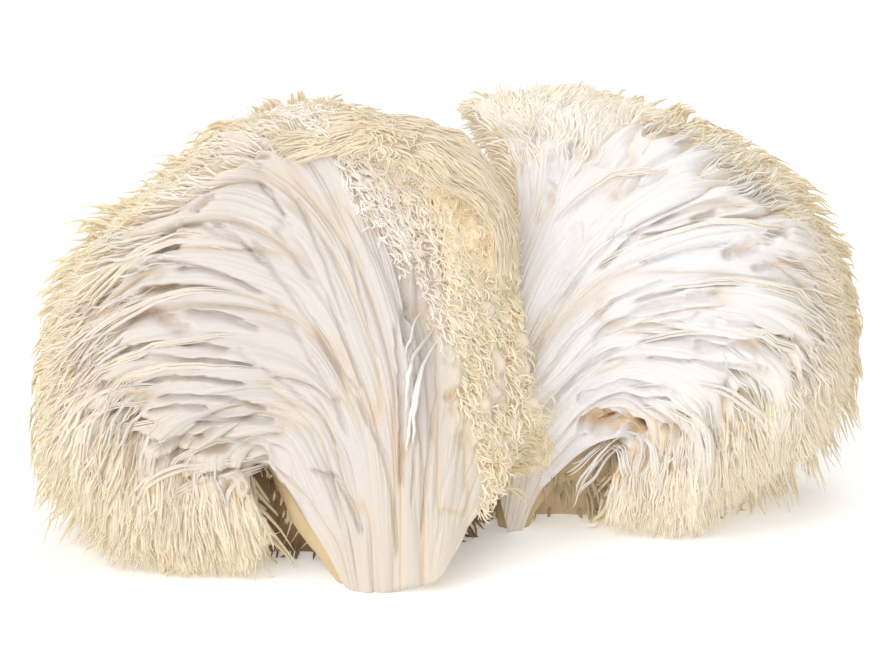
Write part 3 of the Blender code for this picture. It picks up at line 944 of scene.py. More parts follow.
def wavy(paths: Array, size: float, amount: float, seed: int) -> Array:
    """Moves paths aside together, more towards their tips, so that they lie in locks.

    Args:
        paths: rows of points.
        size: how broad a lock is, in millimetres.
        amount: how far the tips move, in millimetres.
        seed: picks the pattern.

    Returns:
        The moved paths.
    """
    aside = np.stack([noise(paths / (size * MM), seed + axis) for axis in range(3)], -1)
    return paths + aside * (amount * MM * np.linspace(0, 1, paths.shape[1]) ** 1.2)[:, None]


def tufted(paths: Array, size: float, pull: float, seed: int) -> Array:
    """Draws neighbouring paths together towards their tips, so that they make tufts.

    Args:
        paths: rows of points.
        size: how broad a tuft is at its root, in millimetres.
        pull: how far the tips come together, from 0 to 1.
        seed: picks the tufts.

    Returns:
        The moved paths.
    """
    rng = np.random.default_rng(seed)
    roots = paths[:, 0] / (size * MM) + rng.normal(0, 0.15, (len(paths), 3))
    cells = np.unique(np.floor(roots).astype(int), axis=0, return_inverse=True)[1].ravel()
    leaders = np.zeros((cells.max() + 1,) + paths.shape[1:])
    np.add.at(leaders, cells, paths)
    leaders /= np.bincount(cells)[:, None, None]
    share = pull * np.linspace(0, 1, paths.shape[1]) ** 1.3
    share = share * rng.uniform(0.6, 1.2, len(paths))[:, None]
    return paths + (leaders[cells] - paths) * share[..., None]


def combed(paths: Array, waves: Pair, tufts: Pair, curls: Pair, seeds: tuple[int, int]) -> Array:
    """Lays paths in locks, draws those into tufts and curls the tufts.

    Args:
        paths: rows of points.
        waves: the locks' size and how far they move, in millimetres.
        tufts: the tufts' size in millimetres and how far their tips come together.
        curls: the curls' size and how far they move, in millimetres.
        seeds: pick the locks and curls, and the tufts.

    Returns:
        The moved paths.
    """
    seed, tuft_seed = seeds
    return wavy(tufted(wavy(paths, *waves, seed), *tufts, tuft_seed), *curls, seed + 3)


def arcs(root: Array, heading: Array, fall: Array, reach: Array, t: Array) -> Array:
    """Paths that leave their roots along a heading and bend as they fall.

    Args:
        root: where they start.
        heading: the direction that they start in.
        fall: how far they fall aside, for a length of 1.
        reach: their lengths in metres.
        t: places along them.

    Returns:
        A row of points for each root.
    """
    bend = heading[:, None] * t[:, None] + fall[..., None, :] * (t**2)[:, None]
    return root[:, None] + reach[:, None, None] * bend


def even_places(count: int, seed: int) -> Array:
    """Evenly strewn places in a unit square."""
    steps = np.array([0.7548776662466927, 0.5698402909980532])
    return (0.5 + seed * 0.137 + np.arange(1, count + 1)[:, None] * steps) % 1


@dataclass(frozen=True)
class Coat:
    """One coat of short spines; sizes are in millimetres.

    ripe is how creamy the roots are and how much more the tips, first how far behind
    the face it starts, and uneven how much the spines' ripeness differs.
    """

    name: str
    count: int
    length: Pair
    girth: Pair
    ripe: Pair
    waves: Pair
    tufts: Pair
    curls: Pair
    seed: int = 0
    points: int = 6
    uneven: float = 0.0
    first: float = 0.0

    @property
    def t(self) -> Array:
        """The places of a spine's points along it."""
        return np.linspace(0, 1, self.points)

    def grow(self, owner: str, paths: Array, finish: Kind, rng: Rng, seed: int) -> Object:
        """Makes spines of the paths.

        Args:
            owner: the name of what they grow on.
            paths: rows of points.
            finish: what they look like.
            rng: gives their girths.
            seed: the owner's seed.

        Returns:
            The coat as one piece.
        """
        own = seed + self.seed
        paths = combed(paths, self.waves, self.tufts, self.curls, (own, seed))
        radii = tapered(rng.uniform(*self.girth, len(paths)), self.t)
        ripe = self.ripe[0] + self.ripe[1] * self.t
        if self.uneven:
            ripe = ripe + rng.uniform(-self.uneven, self.uneven, len(paths))[:, None]
        return Spines(f"{owner}_{self.name}", paths, radii, ripe, finish, seed=own).build()


@dataclass(frozen=True)
class Growth:
    """One kind of strand on a torn face; sizes are in millimetres."""

    name: str
    count: int
    span: tuple[float, float, float, float]
    length: Pair
    girth: Pair
    lift: Pair
    seed: int
    droop: float = 0.0
    points: int = 8
    reach: float = 1.0
    sway: float = 0.6
    wave: Pair = (6.0, 1.5)
    finish: Kind | None = None
    tuft: Pair = (3.4, 0.75)
    curl: float = 0.35
    root_shade: float = 0.85
    taper: tuple = TAPER
    root: float = 0.6
    end: Pair = (-0.05, 0.02)
    fall: Pair = (0.3, 1.2)
    ripening: Pair = (0.66, 1.0)
    ripest: Pair = (0.85, 0.1)


class Pattern(IntEnum):
    """What a half adds to its seed for each of its random patterns."""

    FINE = 0
    BUNDLE = 20
    FOLD = 25
    HAIR = 30
    WANDER = 40
    CRUMB = 50
    GRIT = 51
    EDGE = 60
    OUTSIDE = 70
    FURROW = 90


@dataclass
class Half:
    """Half a mushroom: its torn face, its rim and its outside."""

    name: str
    sheet: FibreSheet
    furrows: tuple
    flesh: Kind
    strand: Kind
    spines: Kind
    seed: int
    curd_start: float = 2.0
    columns: int = 601
    rows: int = 141
    coarse: int = 4
    hair: float = 1.26
    ridge: float = 3.0
    bundle: float = 6.5
    fold: float = 16.0
    octaves: int = 6
    octave_breadth: float = 0.55
    first_ridges: float = 10.0
    ridge_run: float = 3.6
    wander: Triple = (0.35, 0.4, 9.0)
    crest: float = 0.6
    cut_raggedness: Pair = (0.35, 7.0)
    crumb: Pair = (2.3, 0.0035)
    grit: Pair = (1.2, 0.0014)
    edge: float = 0.965
    edge_raggedness: Pair = (0.02, 70.0)
    back_share: float = 0.9
    back_gap: float = 0.4
    back_lump: Pair = (0.9, 0.006)
    rim_start: Pair = (0.80, 0.93)
    rim_end: Pair = (-0.04, 0.02)
    rim_stray: float = 0.006
    rim_place: float = 0.86
    rim_thickness: float = 0.9
    rim_fall: float = 3.0
    side_span: Pair = (0.3, 0.68)
    side_depth: float = 32.0
    side_splay: Pair = (0.2, 1.2)
    side_fall: Triple = (0.0, -0.1, -0.25)
    outside_span: tuple = (0.0, 1.0, 0.22, 0.89)
    outside_lean: float = 0.5
    outside_fall: Pair = (0.75, 0.35)
    grain_scale: float = 0.12

    def behind(self, across: Array, along: Array) -> Array:
        """How far the outside lies behind the face, in millimetres."""
        share = np.interp(across, BACK_ACROSS_PLACES, BACK_ACROSS)
        places = np.interp(along, BACK_PLACES, np.linspace(0, 1, len(BACK_PLACES)))
        return share * spline(np.array(BACK_ALONG)[:, None], places.ravel()).reshape(along.shape)

    def outer(self, across: Array, along: Array) -> Array:
        """The points of the outside."""
        return self.sheet.at(across, along, self.behind(across, along))

    def ridges(self, across: Array, along: Array, size: float, pattern: Pattern) -> Array:
        """Ridges that run along the fibres and branch as the face widens.

        Args:
            across: places across the fibres.
            along: places along the fibres.
            size: how far apart the ridges are, in millimetres.
            pattern: which ridges they are.

        Returns:
            Heights between about -1 and 1.
        """
        seed = self.seed + pattern
        breadth = lengths(self.sheet.slopes(across, along)[0])
        amount, often, run = self.wander
        total, weights = 0.0, 1e-6
        for octave in range(self.octaves):
            count = self.first_ridges * 2**octave
            octaves_off = np.log2(np.maximum(breadth / count, 1e-3) / size)
            weight = np.exp(-((octaves_off / self.octave_breadth) ** 2))
            slow = np.stack([across * count * often, along * run], -1)
            wander = amount * noise(slow, seed + Pattern.WANDER + octave)
            places = np.stack([across * count + wander, along * self.ridge_run], -1)
            total = total + weight * noise(places, seed + octave)
            weights = weights + weight
        return total / weights

    def furrowed(self, across: Array, along: Array) -> Array:
        """How deep the furrows and hollows go.

        Args:
            across: places across the fibres.
            along: places along the fibres.

        Returns:
            Depths in millimetres.
        """
        pixels = self.sheet.pixels(across, along)[..., :2]
        amount, size = self.cut_raggedness
        ragged = 1 + amount * noise(pixels / size, self.seed + Pattern.FURROW)
        deep = np.zeros(pixels.shape[:-1])
        for breadth, depth, line in self.furrows:
            corners = pixels_of(line)
            nearest = np.full(deep.shape, 1e9)
            for start, end in zip(corners[:-1], corners[1:]):
                run = end - start
                part = np.clip(((pixels - start) @ run) / (run @ run), 0, 1)
                off = np.linalg.norm(pixels - start - part[..., None] * run, axis=-1)
                nearest = np.minimum(nearest, off)
            inside = smooth(breadth * ragged * 1.6 - nearest, 0, breadth * 1.4)
            deep = np.maximum(deep, depth * inside)
        return deep

    def face(self, across: Array, along: Array) -> Arrays:
        """The torn face with its ridges and furrows.

        Args:
            across: places across the fibres.
            along: places along the fibres.

        Returns:
            The points, and how much painted shade each gets, from 0 to 1: in furrows, splits,
            creases and curd crevices.
        """
        fine = np.abs(self.ridges(across, along, self.ridge, Pattern.FINE)) ** self.crest
        medium = self.ridges(across, along, self.bundle, Pattern.BUNDLE)
        broad = self.ridges(across, along, self.fold, Pattern.FOLD)
        hair = np.abs(self.ridges(across, along, self.hair, Pattern.HAIR)) ** self.crest
        height = np.interp(along, RELIEF_PLACES, FINE_RELIEF) * (fine - 0.55)
        crests = np.abs(medium) ** self.crest - 0.6
        height += np.interp(along, RELIEF_PLACES, BUNDLE_RELIEF) * crests
        height += np.interp(along, RELIEF_PLACES, FOLD_RELIEF) * broad
        height += np.interp(along, RELIEF_PLACES, HAIR_RELIEF) * (hair - 0.55)
        split = smooth(-medium, 0.28, 0.5)
        cuts = self.furrowed(across, along)
        height -= cuts + split * np.interp(along, *SPLIT_DEPTHS)
        away = self.sheet.outward(across, along)
        start = self.curd_start
        curdled = smooth(across, start - 0.03, start + 0.04) * smooth(along, 0.2, 0.34)
        points = self.sheet.at(across, along)
        crumbs = self.crumb[0] * noise(points / self.crumb[1], self.seed + Pattern.CRUMB)
        crumbs += self.grit[0] * noise(points / self.grit[1], self.seed + Pattern.GRIT)
        points += away * (height * (1 - 0.6 * curdled) + crumbs * curdled)[..., None] * MM
        # Painted shade: darker warm tan along the creases, in the splits between bundles, in the
        # crevices of the curd and in the furrows; the deepest furrows turn brown.
        crease = smooth(0.12 - np.abs(medium), 0.0, 0.12) * np.interp(along, *CREASE_SHADES)
        valley = split * np.interp(along, *SPLIT_SHADES)
        crevice = curdled * smooth(-crumbs, 0.3, 1.6) * 0.6
        hollow = smooth(cuts, 2.1, 3.8) * 0.6 + (valley + crease) * (1 - curdled) + crevice
        return points, np.clip(hollow, 0, 0.8) + 0.2 * smooth(cuts, 4.0, 5.4)

    def body(self) -> Object:
        """The flesh: the torn face, the outside and the walls between them."""
        columns, rows, coarse = self.columns, self.rows, self.coarse
        across, share = np.meshgrid(
            np.linspace(0, 1, columns), np.linspace(0, 1, rows), indexing="ij"
        )
        amount, often = self.edge_raggedness
        rough = noise(across[..., None] * often, self.seed + Pattern.EDGE)
        along = share * (self.edge + amount * rough)
        front, hollow = self.face(across, along)
        far_across, far_share = across[::coarse, ::coarse], share[::coarse, ::coarse]
        far_along = (along * self.back_share)[::coarse, ::coarse]
        extra = self.behind(far_across, far_along) * smooth(far_share, -0.2, 0.1)
        back = self.sheet.at(far_across, far_along, extra + self.back_gap)
        amount, size = self.back_lump
        lumpy = noise(back / size, self.seed + Pattern.OUTSIDE)
        back += unit(back - back.mean(axis=(0, 1))) * (lumpy[..., None] * amount - amount) * MM
        points = np.concatenate([front.reshape(-1, 3), back.reshape(-1, 3)])
        points[:, 2] = np.maximum(points[:, 2], 0.0)
        near = np.arange(columns * rows).reshape(columns, rows)
        far = near.size + np.arange(far_share.size).reshape(far_share.shape)
        faces = grid_faces(near) + grid_faces(far, turned=True)
        for border in BORDERS:
            faces += stitched(near[border], far[border], coarse)
        mesh = mesh_of(f"{self.name}_flesh", points, faces)
        start = self.curd_start
        ripe = smooth(along, 0.55, 0.98) + 0.5 * smooth(0.3 - along, 0, 0.25)
        ripe += 0.8 * smooth(across, start - 0.02, start + 0.04) * smooth(along, 0.16, 0.3)
        # The outside gets an even painted shade all over.
        store(
            mesh,
            ripe=np.concatenate([ripe.ravel(), np.full(far.size, 1.0)]),
            hollow=np.concatenate([hollow.ravel(), np.full(far.size, 0.3)]),
            tone=0.5,
        )
        flow = mesh.uv_layers.new(name="flow")
        corner = np.empty(len(mesh.loops), np.int32)
        mesh.loops.foreach_get("vertex_index", corner)
        grids = ((across, along), (far_across, far_along))
        places = np.concatenate([np.stack(grid, -1).reshape(-1, 2) for grid in grids])
        places *= self.grain_scale
        flow.data.foreach_set("uv", places[corner].astype(np.float32).ravel())
        return piece(f"{self.name}_flesh", mesh, self.flesh)

    def chosen(self, count: int, span: tuple, seed: int, back: bool = False) -> Arrays:
        """Places strewn evenly over part of the face.

        Args:
            count: how many places to try; about half of them are kept.
            span: the first and last place across, and the first and last along.
            seed: picks the pattern.
            back: whether the places are on the outside.

        Returns:
            The places across, and the places along.
        """
        low_u, high_u, low_v, high_v = span
        tried = even_places(count, seed) * (high_u - low_u, high_v - low_v) + (low_u, low_v)
        u, v = tried[:, 0], tried[:, 1]
        sideways, onward = self.sheet.slopes(u, v, self.behind(u, v) if back else 0.0)
        area = np.linalg.norm(np.cross(sideways, onward), axis=1)
        chance = np.random.default_rng(self.seed + seed).uniform(0, 1, count)
        early = 0.12 + 0.88 * smooth(v, low_v, low_v + 0.5 * (high_v - low_v))
        kept = chance < area / np.percentile(area, 98) * (1 if back else early)
        return u[kept], v[kept]

    def strands(self, growth: Growth) -> Object:
        """Strands that leave the face, run on along its fibres and end in points.

        Args:
            growth: how many there are, where they start and their sizes.

        Returns:
            The strands as one piece.
        """
        seed = self.seed + growth.seed
        rng = np.random.default_rng(seed)
        u, v = self.chosen(growth.count, growth.span, growth.seed)
        number = len(u)
        broad, long = (lengths(way) for way in self.sheet.slopes(u, v))
        t = np.linspace(0, 1, growth.points)
        goal = v + rng.uniform(*growth.length, number) / long
        goal = np.minimum(goal, growth.reach + rng.uniform(*growth.end, number))
        along = v[:, None] + (goal - v)[:, None] * t
        stray = rng.normal(0, growth.sway, number)[:, None] * t**1.6
        across = u[:, None] + stray / broad[:, None]
        base, _ = self.face(across, np.minimum(along, 1.0))
        middle = self.sheet.at(across, np.minimum(along, 1.0))
        share = (t**2)[:, None]
        path = base * (1 - share) + middle * share + self.sheet.at(across, along) - middle
        away = self.sheet.outward(across, np.minimum(along, 0.98))
        rise = rng.uniform(*growth.lift, number)[:, None] * t**1.4 - growth.root * (1 - t)
        path = path + away * rise[..., None] * MM
        path[..., 2] -= growth.droop * MM * t**2 * rng.uniform(*growth.fall, number)[:, None]
        curls = growth.wave[0] * growth.curl, growth.wave[1] * growth.curl
        path = combed(path, growth.wave, growth.tuft, curls, (seed, seed))
        radii = tapered(rng.uniform(*growth.girth, number), t, growth.taper)
        ripe = smooth(along, *growth.ripening) * growth.ripest[0] + growth.ripest[1] * t
        finish = growth.finish or (self.spines if growth.root_shade else self.strand)
        name = f"{self.name}_{growth.name}"
        return Spines(name, path, radii, ripe, finish, seed=seed, root_shade=growth.root_shade).build()

    def rim(self, coat: Coat) -> Object:
        """Spines of the rim, between the torn face and the outside.

        Args:
            coat: how many there are and their sizes.

        Returns:
            The spines as one piece.
        """
        rng = np.random.default_rng(self.seed + coat.seed)
        u, deep = even_places(coat.count, coat.seed).T
        t, count = coat.t, coat.count
        start = rng.uniform(*self.rim_start, count)
        long = lengths(self.sheet.slopes(u, start)[1])
        goal = start + rng.uniform(*coat.length, count) / long
        goal = np.minimum(goal, 1.0 + rng.uniform(*self.rim_end, count))
        along = start[:, None] + (goal - start)[:, None] * t
        across = u[:, None] + rng.normal(0, self.rim_stray, count)[:, None] * t**1.5
        thick = deep * self.behind(u, np.full(count, self.rim_place)) * self.rim_thickness
        path = self.sheet.at(across, along, thick[:, None] * (1 - 0.35 * t))
        path[..., 2] -= rng.uniform(0, self.rim_fall, count)[:, None] * MM * t**2
        return coat.grow(self.name, path, self.spines, rng, self.seed)

    def side(self, coat: Coat) -> Object:
        """Spines of the side edge past the last fibre, which point away from the face.

        Args:
            coat: how many there are and their sizes.

        Returns:
            The spines as one piece.
        """
        rng = np.random.default_rng(self.seed + coat.seed)
        t, count = coat.t, coat.count
        places = even_places(count, coat.seed)
        u, v = np.full(count, 1.0), self.side_span[0] + self.side_span[1] * places[:, 0]
        extra = coat.first + places[:, 1] * (self.side_depth - coat.first)
        sideways, onward = (unit(way) for way in self.sheet.slopes(u, v, extra))
        heading = sideways * rng.uniform(*self.side_splay, count)[:, None] + onward
        heading = unit(heading + rng.normal(0, 0.2, (count, 3)))
        root = self.sheet.at(u, v, extra) - sideways * 1.5 * MM
        reach = rng.uniform(*coat.length, count) * MM
        path = arcs(root, heading, np.array(self.side_fall), reach, t)
        return coat.grow(self.name, path, self.spines, rng, self.seed)

    def outside(self, coat: Coat) -> Object:
        """Spines of the outside, which lie towards the rim and hang.

        Args:
            coat: how many there are and their sizes.

        Returns:
            The spines as one piece.
        """
        rng = np.random.default_rng(self.seed + coat.seed)
        u, v = self.chosen(coat.count, self.outside_span, coat.seed, back=True)
        t, number, step = coat.t, len(u), 0.01
        root = self.outer(u, v)
        onward = unit(self.outer(u, v + step) - self.outer(u, v - step))
        sideways = unit(self.outer(u + step, v) - self.outer(u - step, v))
        away = unit(np.cross(sideways, onward))
        middle = self.sheet.at(np.full(1, 0.5), np.full(1, 0.55), np.full(1, 20.0))[0]
        away *= np.sign(np.sum(away * (root - middle), axis=1))[:, None]
        reach = rng.uniform(*coat.length, number) * MM
        heading = unit(away + onward * self.outside_lean + rng.normal(0, 0.18, (number, 3)))
        fall = self.outside_fall[0] * (np.array([0, 0, -1.0]) + self.outside_fall[1] * away)
        path = arcs(root, heading, fall, reach, t)
        path -= (away * 0.6 * MM)[:, None]
        return coat.grow(self.name, path, Kind.OUTER_SPINES, rng, self.seed)


@dataclass
class Hood:
    """The edge of the cap that hangs over the torn face, with its mat of spines."""

    sheet: FibreSheet = FibreSheet(HOOD_RIBS, HOOD_DEPTHS)
    inner: Triple = (400.0, 300.0, 50.0)
    thickness: float = 0.005
    lump: Pair = (0.5, 0.004)
    columns: int = 120
    rows: int = 40
    seed: int = 300
    turning: Pair = (0.06, 0.34)
    drift: Pair = (1.5, 2.2)
    hang: Pair = (1.0, 5.0)
    lift: Pair = (0.4, 4.4)
    rear: Pair = (4.0, 11.0)
    sag: Pair = (1.2, 0.5)
    sunk: float = 0.8

    def slab(self) -> Object:
        """The flesh that the spines grow on."""
        across, along = np.meshgrid(
            np.linspace(0, 1, self.columns), np.linspace(0, 1, self.rows), indexing="ij"
        )
        outer = self.sheet.at(across, along)
        inwards = unit(EYE.place(self.inner) - outer)
        amount, size = self.lump
        outer = outer + inwards * (0.6 + amount * noise(outer / size, self.seed))[..., None] * MM
        edge = np.minimum(np.minimum(along, 1 - along) * 5, np.minimum(across, 1 - across) * 12)
        thick = self.thickness * (0.25 + 0.75 * smooth(edge, 0, 1))
        inner = outer + inwards * thick[..., None]
        near, far = np.arange(2 * across.size).reshape(2, *across.shape)
        faces = grid_faces(near) + grid_faces(far, turned=True)
        for turned, border in zip((True, False, False, True), BORDERS):
            one, two = near[border], far[border]
            wall = np.stack([one[:-1], one[1:], two[1:], two[:-1]], -1)
            faces += (wall[:, ::-1] if turned else wall).tolist()
        mesh = mesh_of("hood_flesh", np.stack([outer, inner]), faces)
        # Painted shade: a little on the outer face, more on the inner face under the overhang.
        hollow = np.repeat((0.15, 0.45), across.size)
        store(mesh, ripe=0.8, hollow=hollow, tone=0.5)
        return piece("hood_flesh", mesh, Kind.CURD)

    def spines(self, coat: Coat) -> Object:
        """The mat of spines, which lies over to the right and down.

        Args:
            coat: how many there are and their sizes.

        Returns:
            The spines as one piece.
        """
        rng = np.random.default_rng(self.seed)
        t, count = coat.t, coat.count
        places = even_places(count, self.seed)
        u, v = places[:, 0] * 0.94, places[:, 1]
        sideways, onward = self.sheet.slopes(u, v)
        leftwards = rng.uniform(0, 1, count) > smooth(u, *self.turning)
        run = rng.uniform(*coat.length, count) / lengths(sideways)
        goal = np.where(leftwards, u - 1.25 * run, np.minimum(u + run, 1.0))
        across = u[:, None] + (goal - u)[:, None] * t
        least, most = self.hang
        hangs = np.where(leftwards | (rng.uniform(0, 1, count) < 0.3), most, least)
        drift = rng.normal(*self.drift, count) + rng.uniform(0, 1, count) * hangs
        drift = (drift / lengths(onward))[:, None] * t**1.3
        along = np.clip(v[:, None] + drift, 0.0, 1.3)
        away = self.sheet.outward(np.clip(across, 0, 1), np.minimum(along, 1.0))
        lift = rng.uniform(*self.lift, count)[:, None] * t**1.2 - self.sunk
        path = self.sheet.at(across, along) + away * lift[..., None] * MM
        rear = (smooth(0.16 - v, 0.0, 0.12) * rng.uniform(*self.rear, count))[:, None]
        path -= unit(onward)[:, None] * (rear * t)[..., None] * MM
        path[..., 2] -= (self.sag[0] + self.sag[1] * rear) * MM * t**2
        return coat.grow("hood", path, Kind.HOOD, rng, self.seed)


@dataclass(frozen=True)
class Stem:
    """Half of the stem, with its tan outer skin.

    Its slices are (left column, right column, row, depth in millimetres), from the
    foot up.
    """

    name: str
    slices: tuple[tuple[float, float, float, float], ...]
    roundness: float = 0.55
    streak: Pair = (0.35, 6.0)
    streak_run: float = 0.08
    bump: Pair = (0.4, 0.005)
    sides: int = 72
    rings: int = 60
    seed: int = 500

    def build(self) -> Object:
        """Makes the stem.

        Returns:
            The stem as one piece.
        """
        rows = spline(np.array(self.slices, float), np.linspace(0, 1, self.rings))
        start, end = EYE.place(rows[:, [0, 2, 3]]), EYE.place(rows[:, [1, 2, 3]])
        turn = np.linspace(0, 2 * math.pi, self.sides, endpoint=False)
        middle, reach = (start + end) / 2, (end[:, 0] - start[:, 0]) / 2
        around = np.stack([np.cos(turn), self.roundness * (1 + np.sin(turn)), 0 * turn], -1)
        points = middle[:, None] + reach[:, None, None] * around
        number = np.arange(self.rings * self.sides).reshape(self.rings, self.sides)
        height = np.arange(self.rings)[:, None] * self.streak_run
        grid = np.broadcast_arrays(turn * self.streak[1], height)
        streaks = noise(np.stack(grid, -1), self.seed)
        bumps = noise(points / self.bump[1], self.seed + 1)
        relief = (self.streak[0] * streaks + self.bump[0] * bumps)[..., None] - 0.5
        points[..., :2] += (around[..., :2] - (0, self.roundness)) * relief * MM
        points[..., 2] = np.maximum(points[..., 2], 0.0)
        after = np.roll(number, -1, axis=1)
        faces = np.stack([number[:-1], after[:-1], after[1:], number[1:]], -1)
        ends = [number[0].tolist(), number[-1].tolist()]
        mesh = mesh_of(self.name, points, faces.reshape(-1, 4).tolist() + ends)
        # The skin gets a slight even painted shade.
        store(mesh, ripe=np.clip(0.7 + 0.3 * streaks, 0, 1), hollow=0.1, tone=0.5)
        return piece(self.name, mesh, Kind.SKIN)


@dataclass(frozen=True)
class Lump:
    """A ball of curd at a pixel, with its depth and radii in millimetres."""

    pixel: Pair
    depth: float
    radii: Triple

    @property
    def middle(self) -> Array:
        """Its middle."""
        return EYE.place((*self.pixel, self.depth))


@dataclass(frozen=True)
class Curd:
    """The crumbly young tissue between the two halves."""

    sheet: FibreSheet
    lumps: tuple[Lump, ...]
    swell: Pair = (1.5, 0.0045)
    crumb: Pair = (0.7, 0.0018)
    sunk: float = 2.8
    reach: Pair = (2.2, 6.0)
    girth: Pair = (0.11, 0.28)
    hang: Triple = (0.45, -0.1, -0.8)
    stray: float = 0.55
    bend: float = 2.4
    lean: Pair = (0.15, 0.8)
    root: Pair = (-0.8, 1.2)
    foot: Triple = (0.42, 0.22, 0.05)
    ball_curls: int = 190
    seed: int = 700

    def lump(self, number: int) -> Object:
        """One ball of curd.

        Args:
            number: which of the lumps it is.

        Returns:
            The ball as one piece.
        """
        lump = self.lumps[number]

        def swell(points: Array) -> Array:
            """How far the ball stands out."""
            broad = noise(points / self.swell[1], self.seed + number) * self.swell[0]
            fine = noise(points / self.crumb[1], self.seed + 9) * self.crumb[0]
            return broad + fine - self.sunk

        name = f"curd_{number}"
        mesh, _, out = ball(name, lump.middle, np.array(lump.radii) * MM, swell)
        low = -out - self.sunk
        # Where the surface sinks in, it is creamier and gets painted shade.
        ripe, hollow = 0.35 + 0.35 * smooth(low, -1, 1), 0.35 * smooth(low, 0.4, 2.0)
        store(mesh, ripe=ripe, hollow=hollow, tone=0.5)
        return piece(name, mesh, Kind.CURD)

    def curls(self, name: str, root: Array, away: Array, ripe: Array | float,
              finish: Kind) -> Object:
        """Short curly spines.

        Args:
            name: the piece's name.
            root: where the curls start.
            away: the surface's direction there.
            ripe: how creamy they are.
            finish: what they look like.

        Returns:
            The curls as one piece.
        """
        count = len(root)
        rng = np.random.default_rng(self.seed + count)
        t = np.linspace(0, 1, 6)
        hang = np.array(self.hang) + rng.normal(0, self.stray, (count, 3))
        side = unit(hang - away * np.sum(hang * away, axis=1, keepdims=True))
        other = unit(np.cross(away, side))
        reach = rng.uniform(*self.reach, count)[:, None, None] * MM
        bend = rng.uniform(-self.bend, self.bend, count)[:, None] + 0.01
        lean = rng.uniform(*self.lean, count)[:, None, None]
        onward, aside = np.sin(bend * t) / bend, (1 - np.cos(bend * t)) / bend
        curl = side[:, None] * onward[..., None] + other[:, None] * aside[..., None]
        path = root[:, None] + reach * curl
        path += reach * away[:, None] * lean * (0.9 * t * (1.3 - t))[:, None]
        path = wavy(tufted(path, 3.2, 0.65, self.seed), 1.6, 0.8, self.seed)
        radii = tapered(self.girth[0] + self.girth[1] * rng.uniform(0, 1, count) ** 2, t)
        tint = ripe + 0.35 * t + 0.5 * noise(root / 0.006, self.seed)[:, None]
        return Spines(name, path, radii, tint, finish, seed=self.seed, root_shade=0.4).build()

    def dress(self) -> None:
        """Curls over the face's curd edge, the balls of curd and the torn flesh beside."""
        rng = np.random.default_rng(self.seed)
        for name, count, low, high, ripe, riper, finish in CURD_COATS:
            places = even_places(count, len(name))
            u = low + (high - low) * places[:, 0]
            start, lower, ragged = self.foot
            foot = start - lower * smooth(u, 0.86, 0.96)
            foot = foot + ragged * noise(u[:, None] * 60, self.seed + 4)
            v = foot + (1.0 - foot) * places[:, 1]
            away = self.sheet.outward(u, v)
            root = self.sheet.at(u, v) + away * rng.uniform(*self.root, count)[:, None] * MM
            tint = ripe + riper * smooth(u, 0.78, 0.93)[:, None]
            self.curls(name, root, away, tint, finish)
        roots, aways = [], []
        for lump in self.lumps:
            away = unit(rng.normal(0, 1, (self.ball_curls, 3)))
            away = away[away[:, 1] < 0.3]
            roots.append(lump.middle + away * np.array(lump.radii) * MM)
            aways.append(away)
        roots, aways = np.concatenate(roots), np.concatenate(aways)
        self.curls("curd_ball_curls", roots, aways, 0.4, Kind.CURD)


@dataclass(frozen=True)
class Threads:
    """Loose bundles of strands that stand out, each along its own traced line.

    A line is (radius and height over the face in millimetres, the line's points).
    """

    name: str
    half: Half
    finish: Kind
    ripe: Pair
    lines: tuple[tuple[float, float, Line], ...]
    strands: int = 7
    spread: float = 2.6
    points: int = 16
    sides: int = 4
    near: float = 5.0
    calm: int = 5

    def face_depths(self, spots: Array) -> Array:
        """How deep the torn face lies behind pixels of the photograph.

        Args:
            spots: the pixels, one row each.

        Returns:
            Depths in millimetres.
        """
        across, along = np.meshgrid(
            np.linspace(0, 1, 260), np.linspace(0.1, 1, 160), indexing="ij"
        )
        pixels = self.half.sheet.pixels(across, along)[..., :2].reshape(-1, 2)
        deep = (self.half.face(across, along)[0][..., 1].ravel() + EYE.middle[1]) / MM
        found = []
        for spot in spots:
            away = np.linalg.norm(pixels - spot, axis=1)
            close = away < max(self.near, away.min() + 0.5)
            found.append(np.percentile(deep[close], 25))
        return np.array(found)

    def build(self) -> Object:
        """Makes the strands.

        Returns:
            The strands as one piece.
        """
        rng = np.random.default_rng(len(self.lines))
        t = np.linspace(0, 1, self.points)
        traced = [spline(pixels_of(line), t) for _, _, line in self.lines]
        depths = self.face_depths(np.concatenate(traced)).reshape(len(traced), -1)
        widening = np.interp(t, (0, 0.5, 1), (0.6, 0.9, 1.6))[:, None]
        kernel = np.ones(self.calm) / self.calm
        paths, radii = [], []
        for (girth, height, _), line, deep in zip(self.lines, traced, depths):
            deep = np.convolve(np.pad(deep, self.calm // 2, "edge"), kernel, "valid")
            heights = -2.0 * girth, -0.3 * girth, 0.5 * height, height
            over = np.interp(t, (0, 0.3, 0.6, 1), heights)
            for _ in range(self.strands):
                aside = rng.normal(0, self.spread, 2) * widening
                depth = deep - over * rng.uniform(0.5, 1.2)
                paths.append(EYE.place(np.column_stack([line + aside, depth])))
                thickest = girth * rng.uniform(0.35, 0.8) * MM
                radii.append(thickest * np.interp(t, *STRAND_TAPER))
        paths = wavy(wavy(np.array(paths), 5.0, 1.4, 5), 2.5, 0.7, 8)
        ripe = self.ripe[0] + (self.ripe[1] - self.ripe[0]) * t
        coat = Spines(self.name, paths, np.array(radii), ripe, self.finish, self.sides, root_shade=0.0)
        return coat.build()


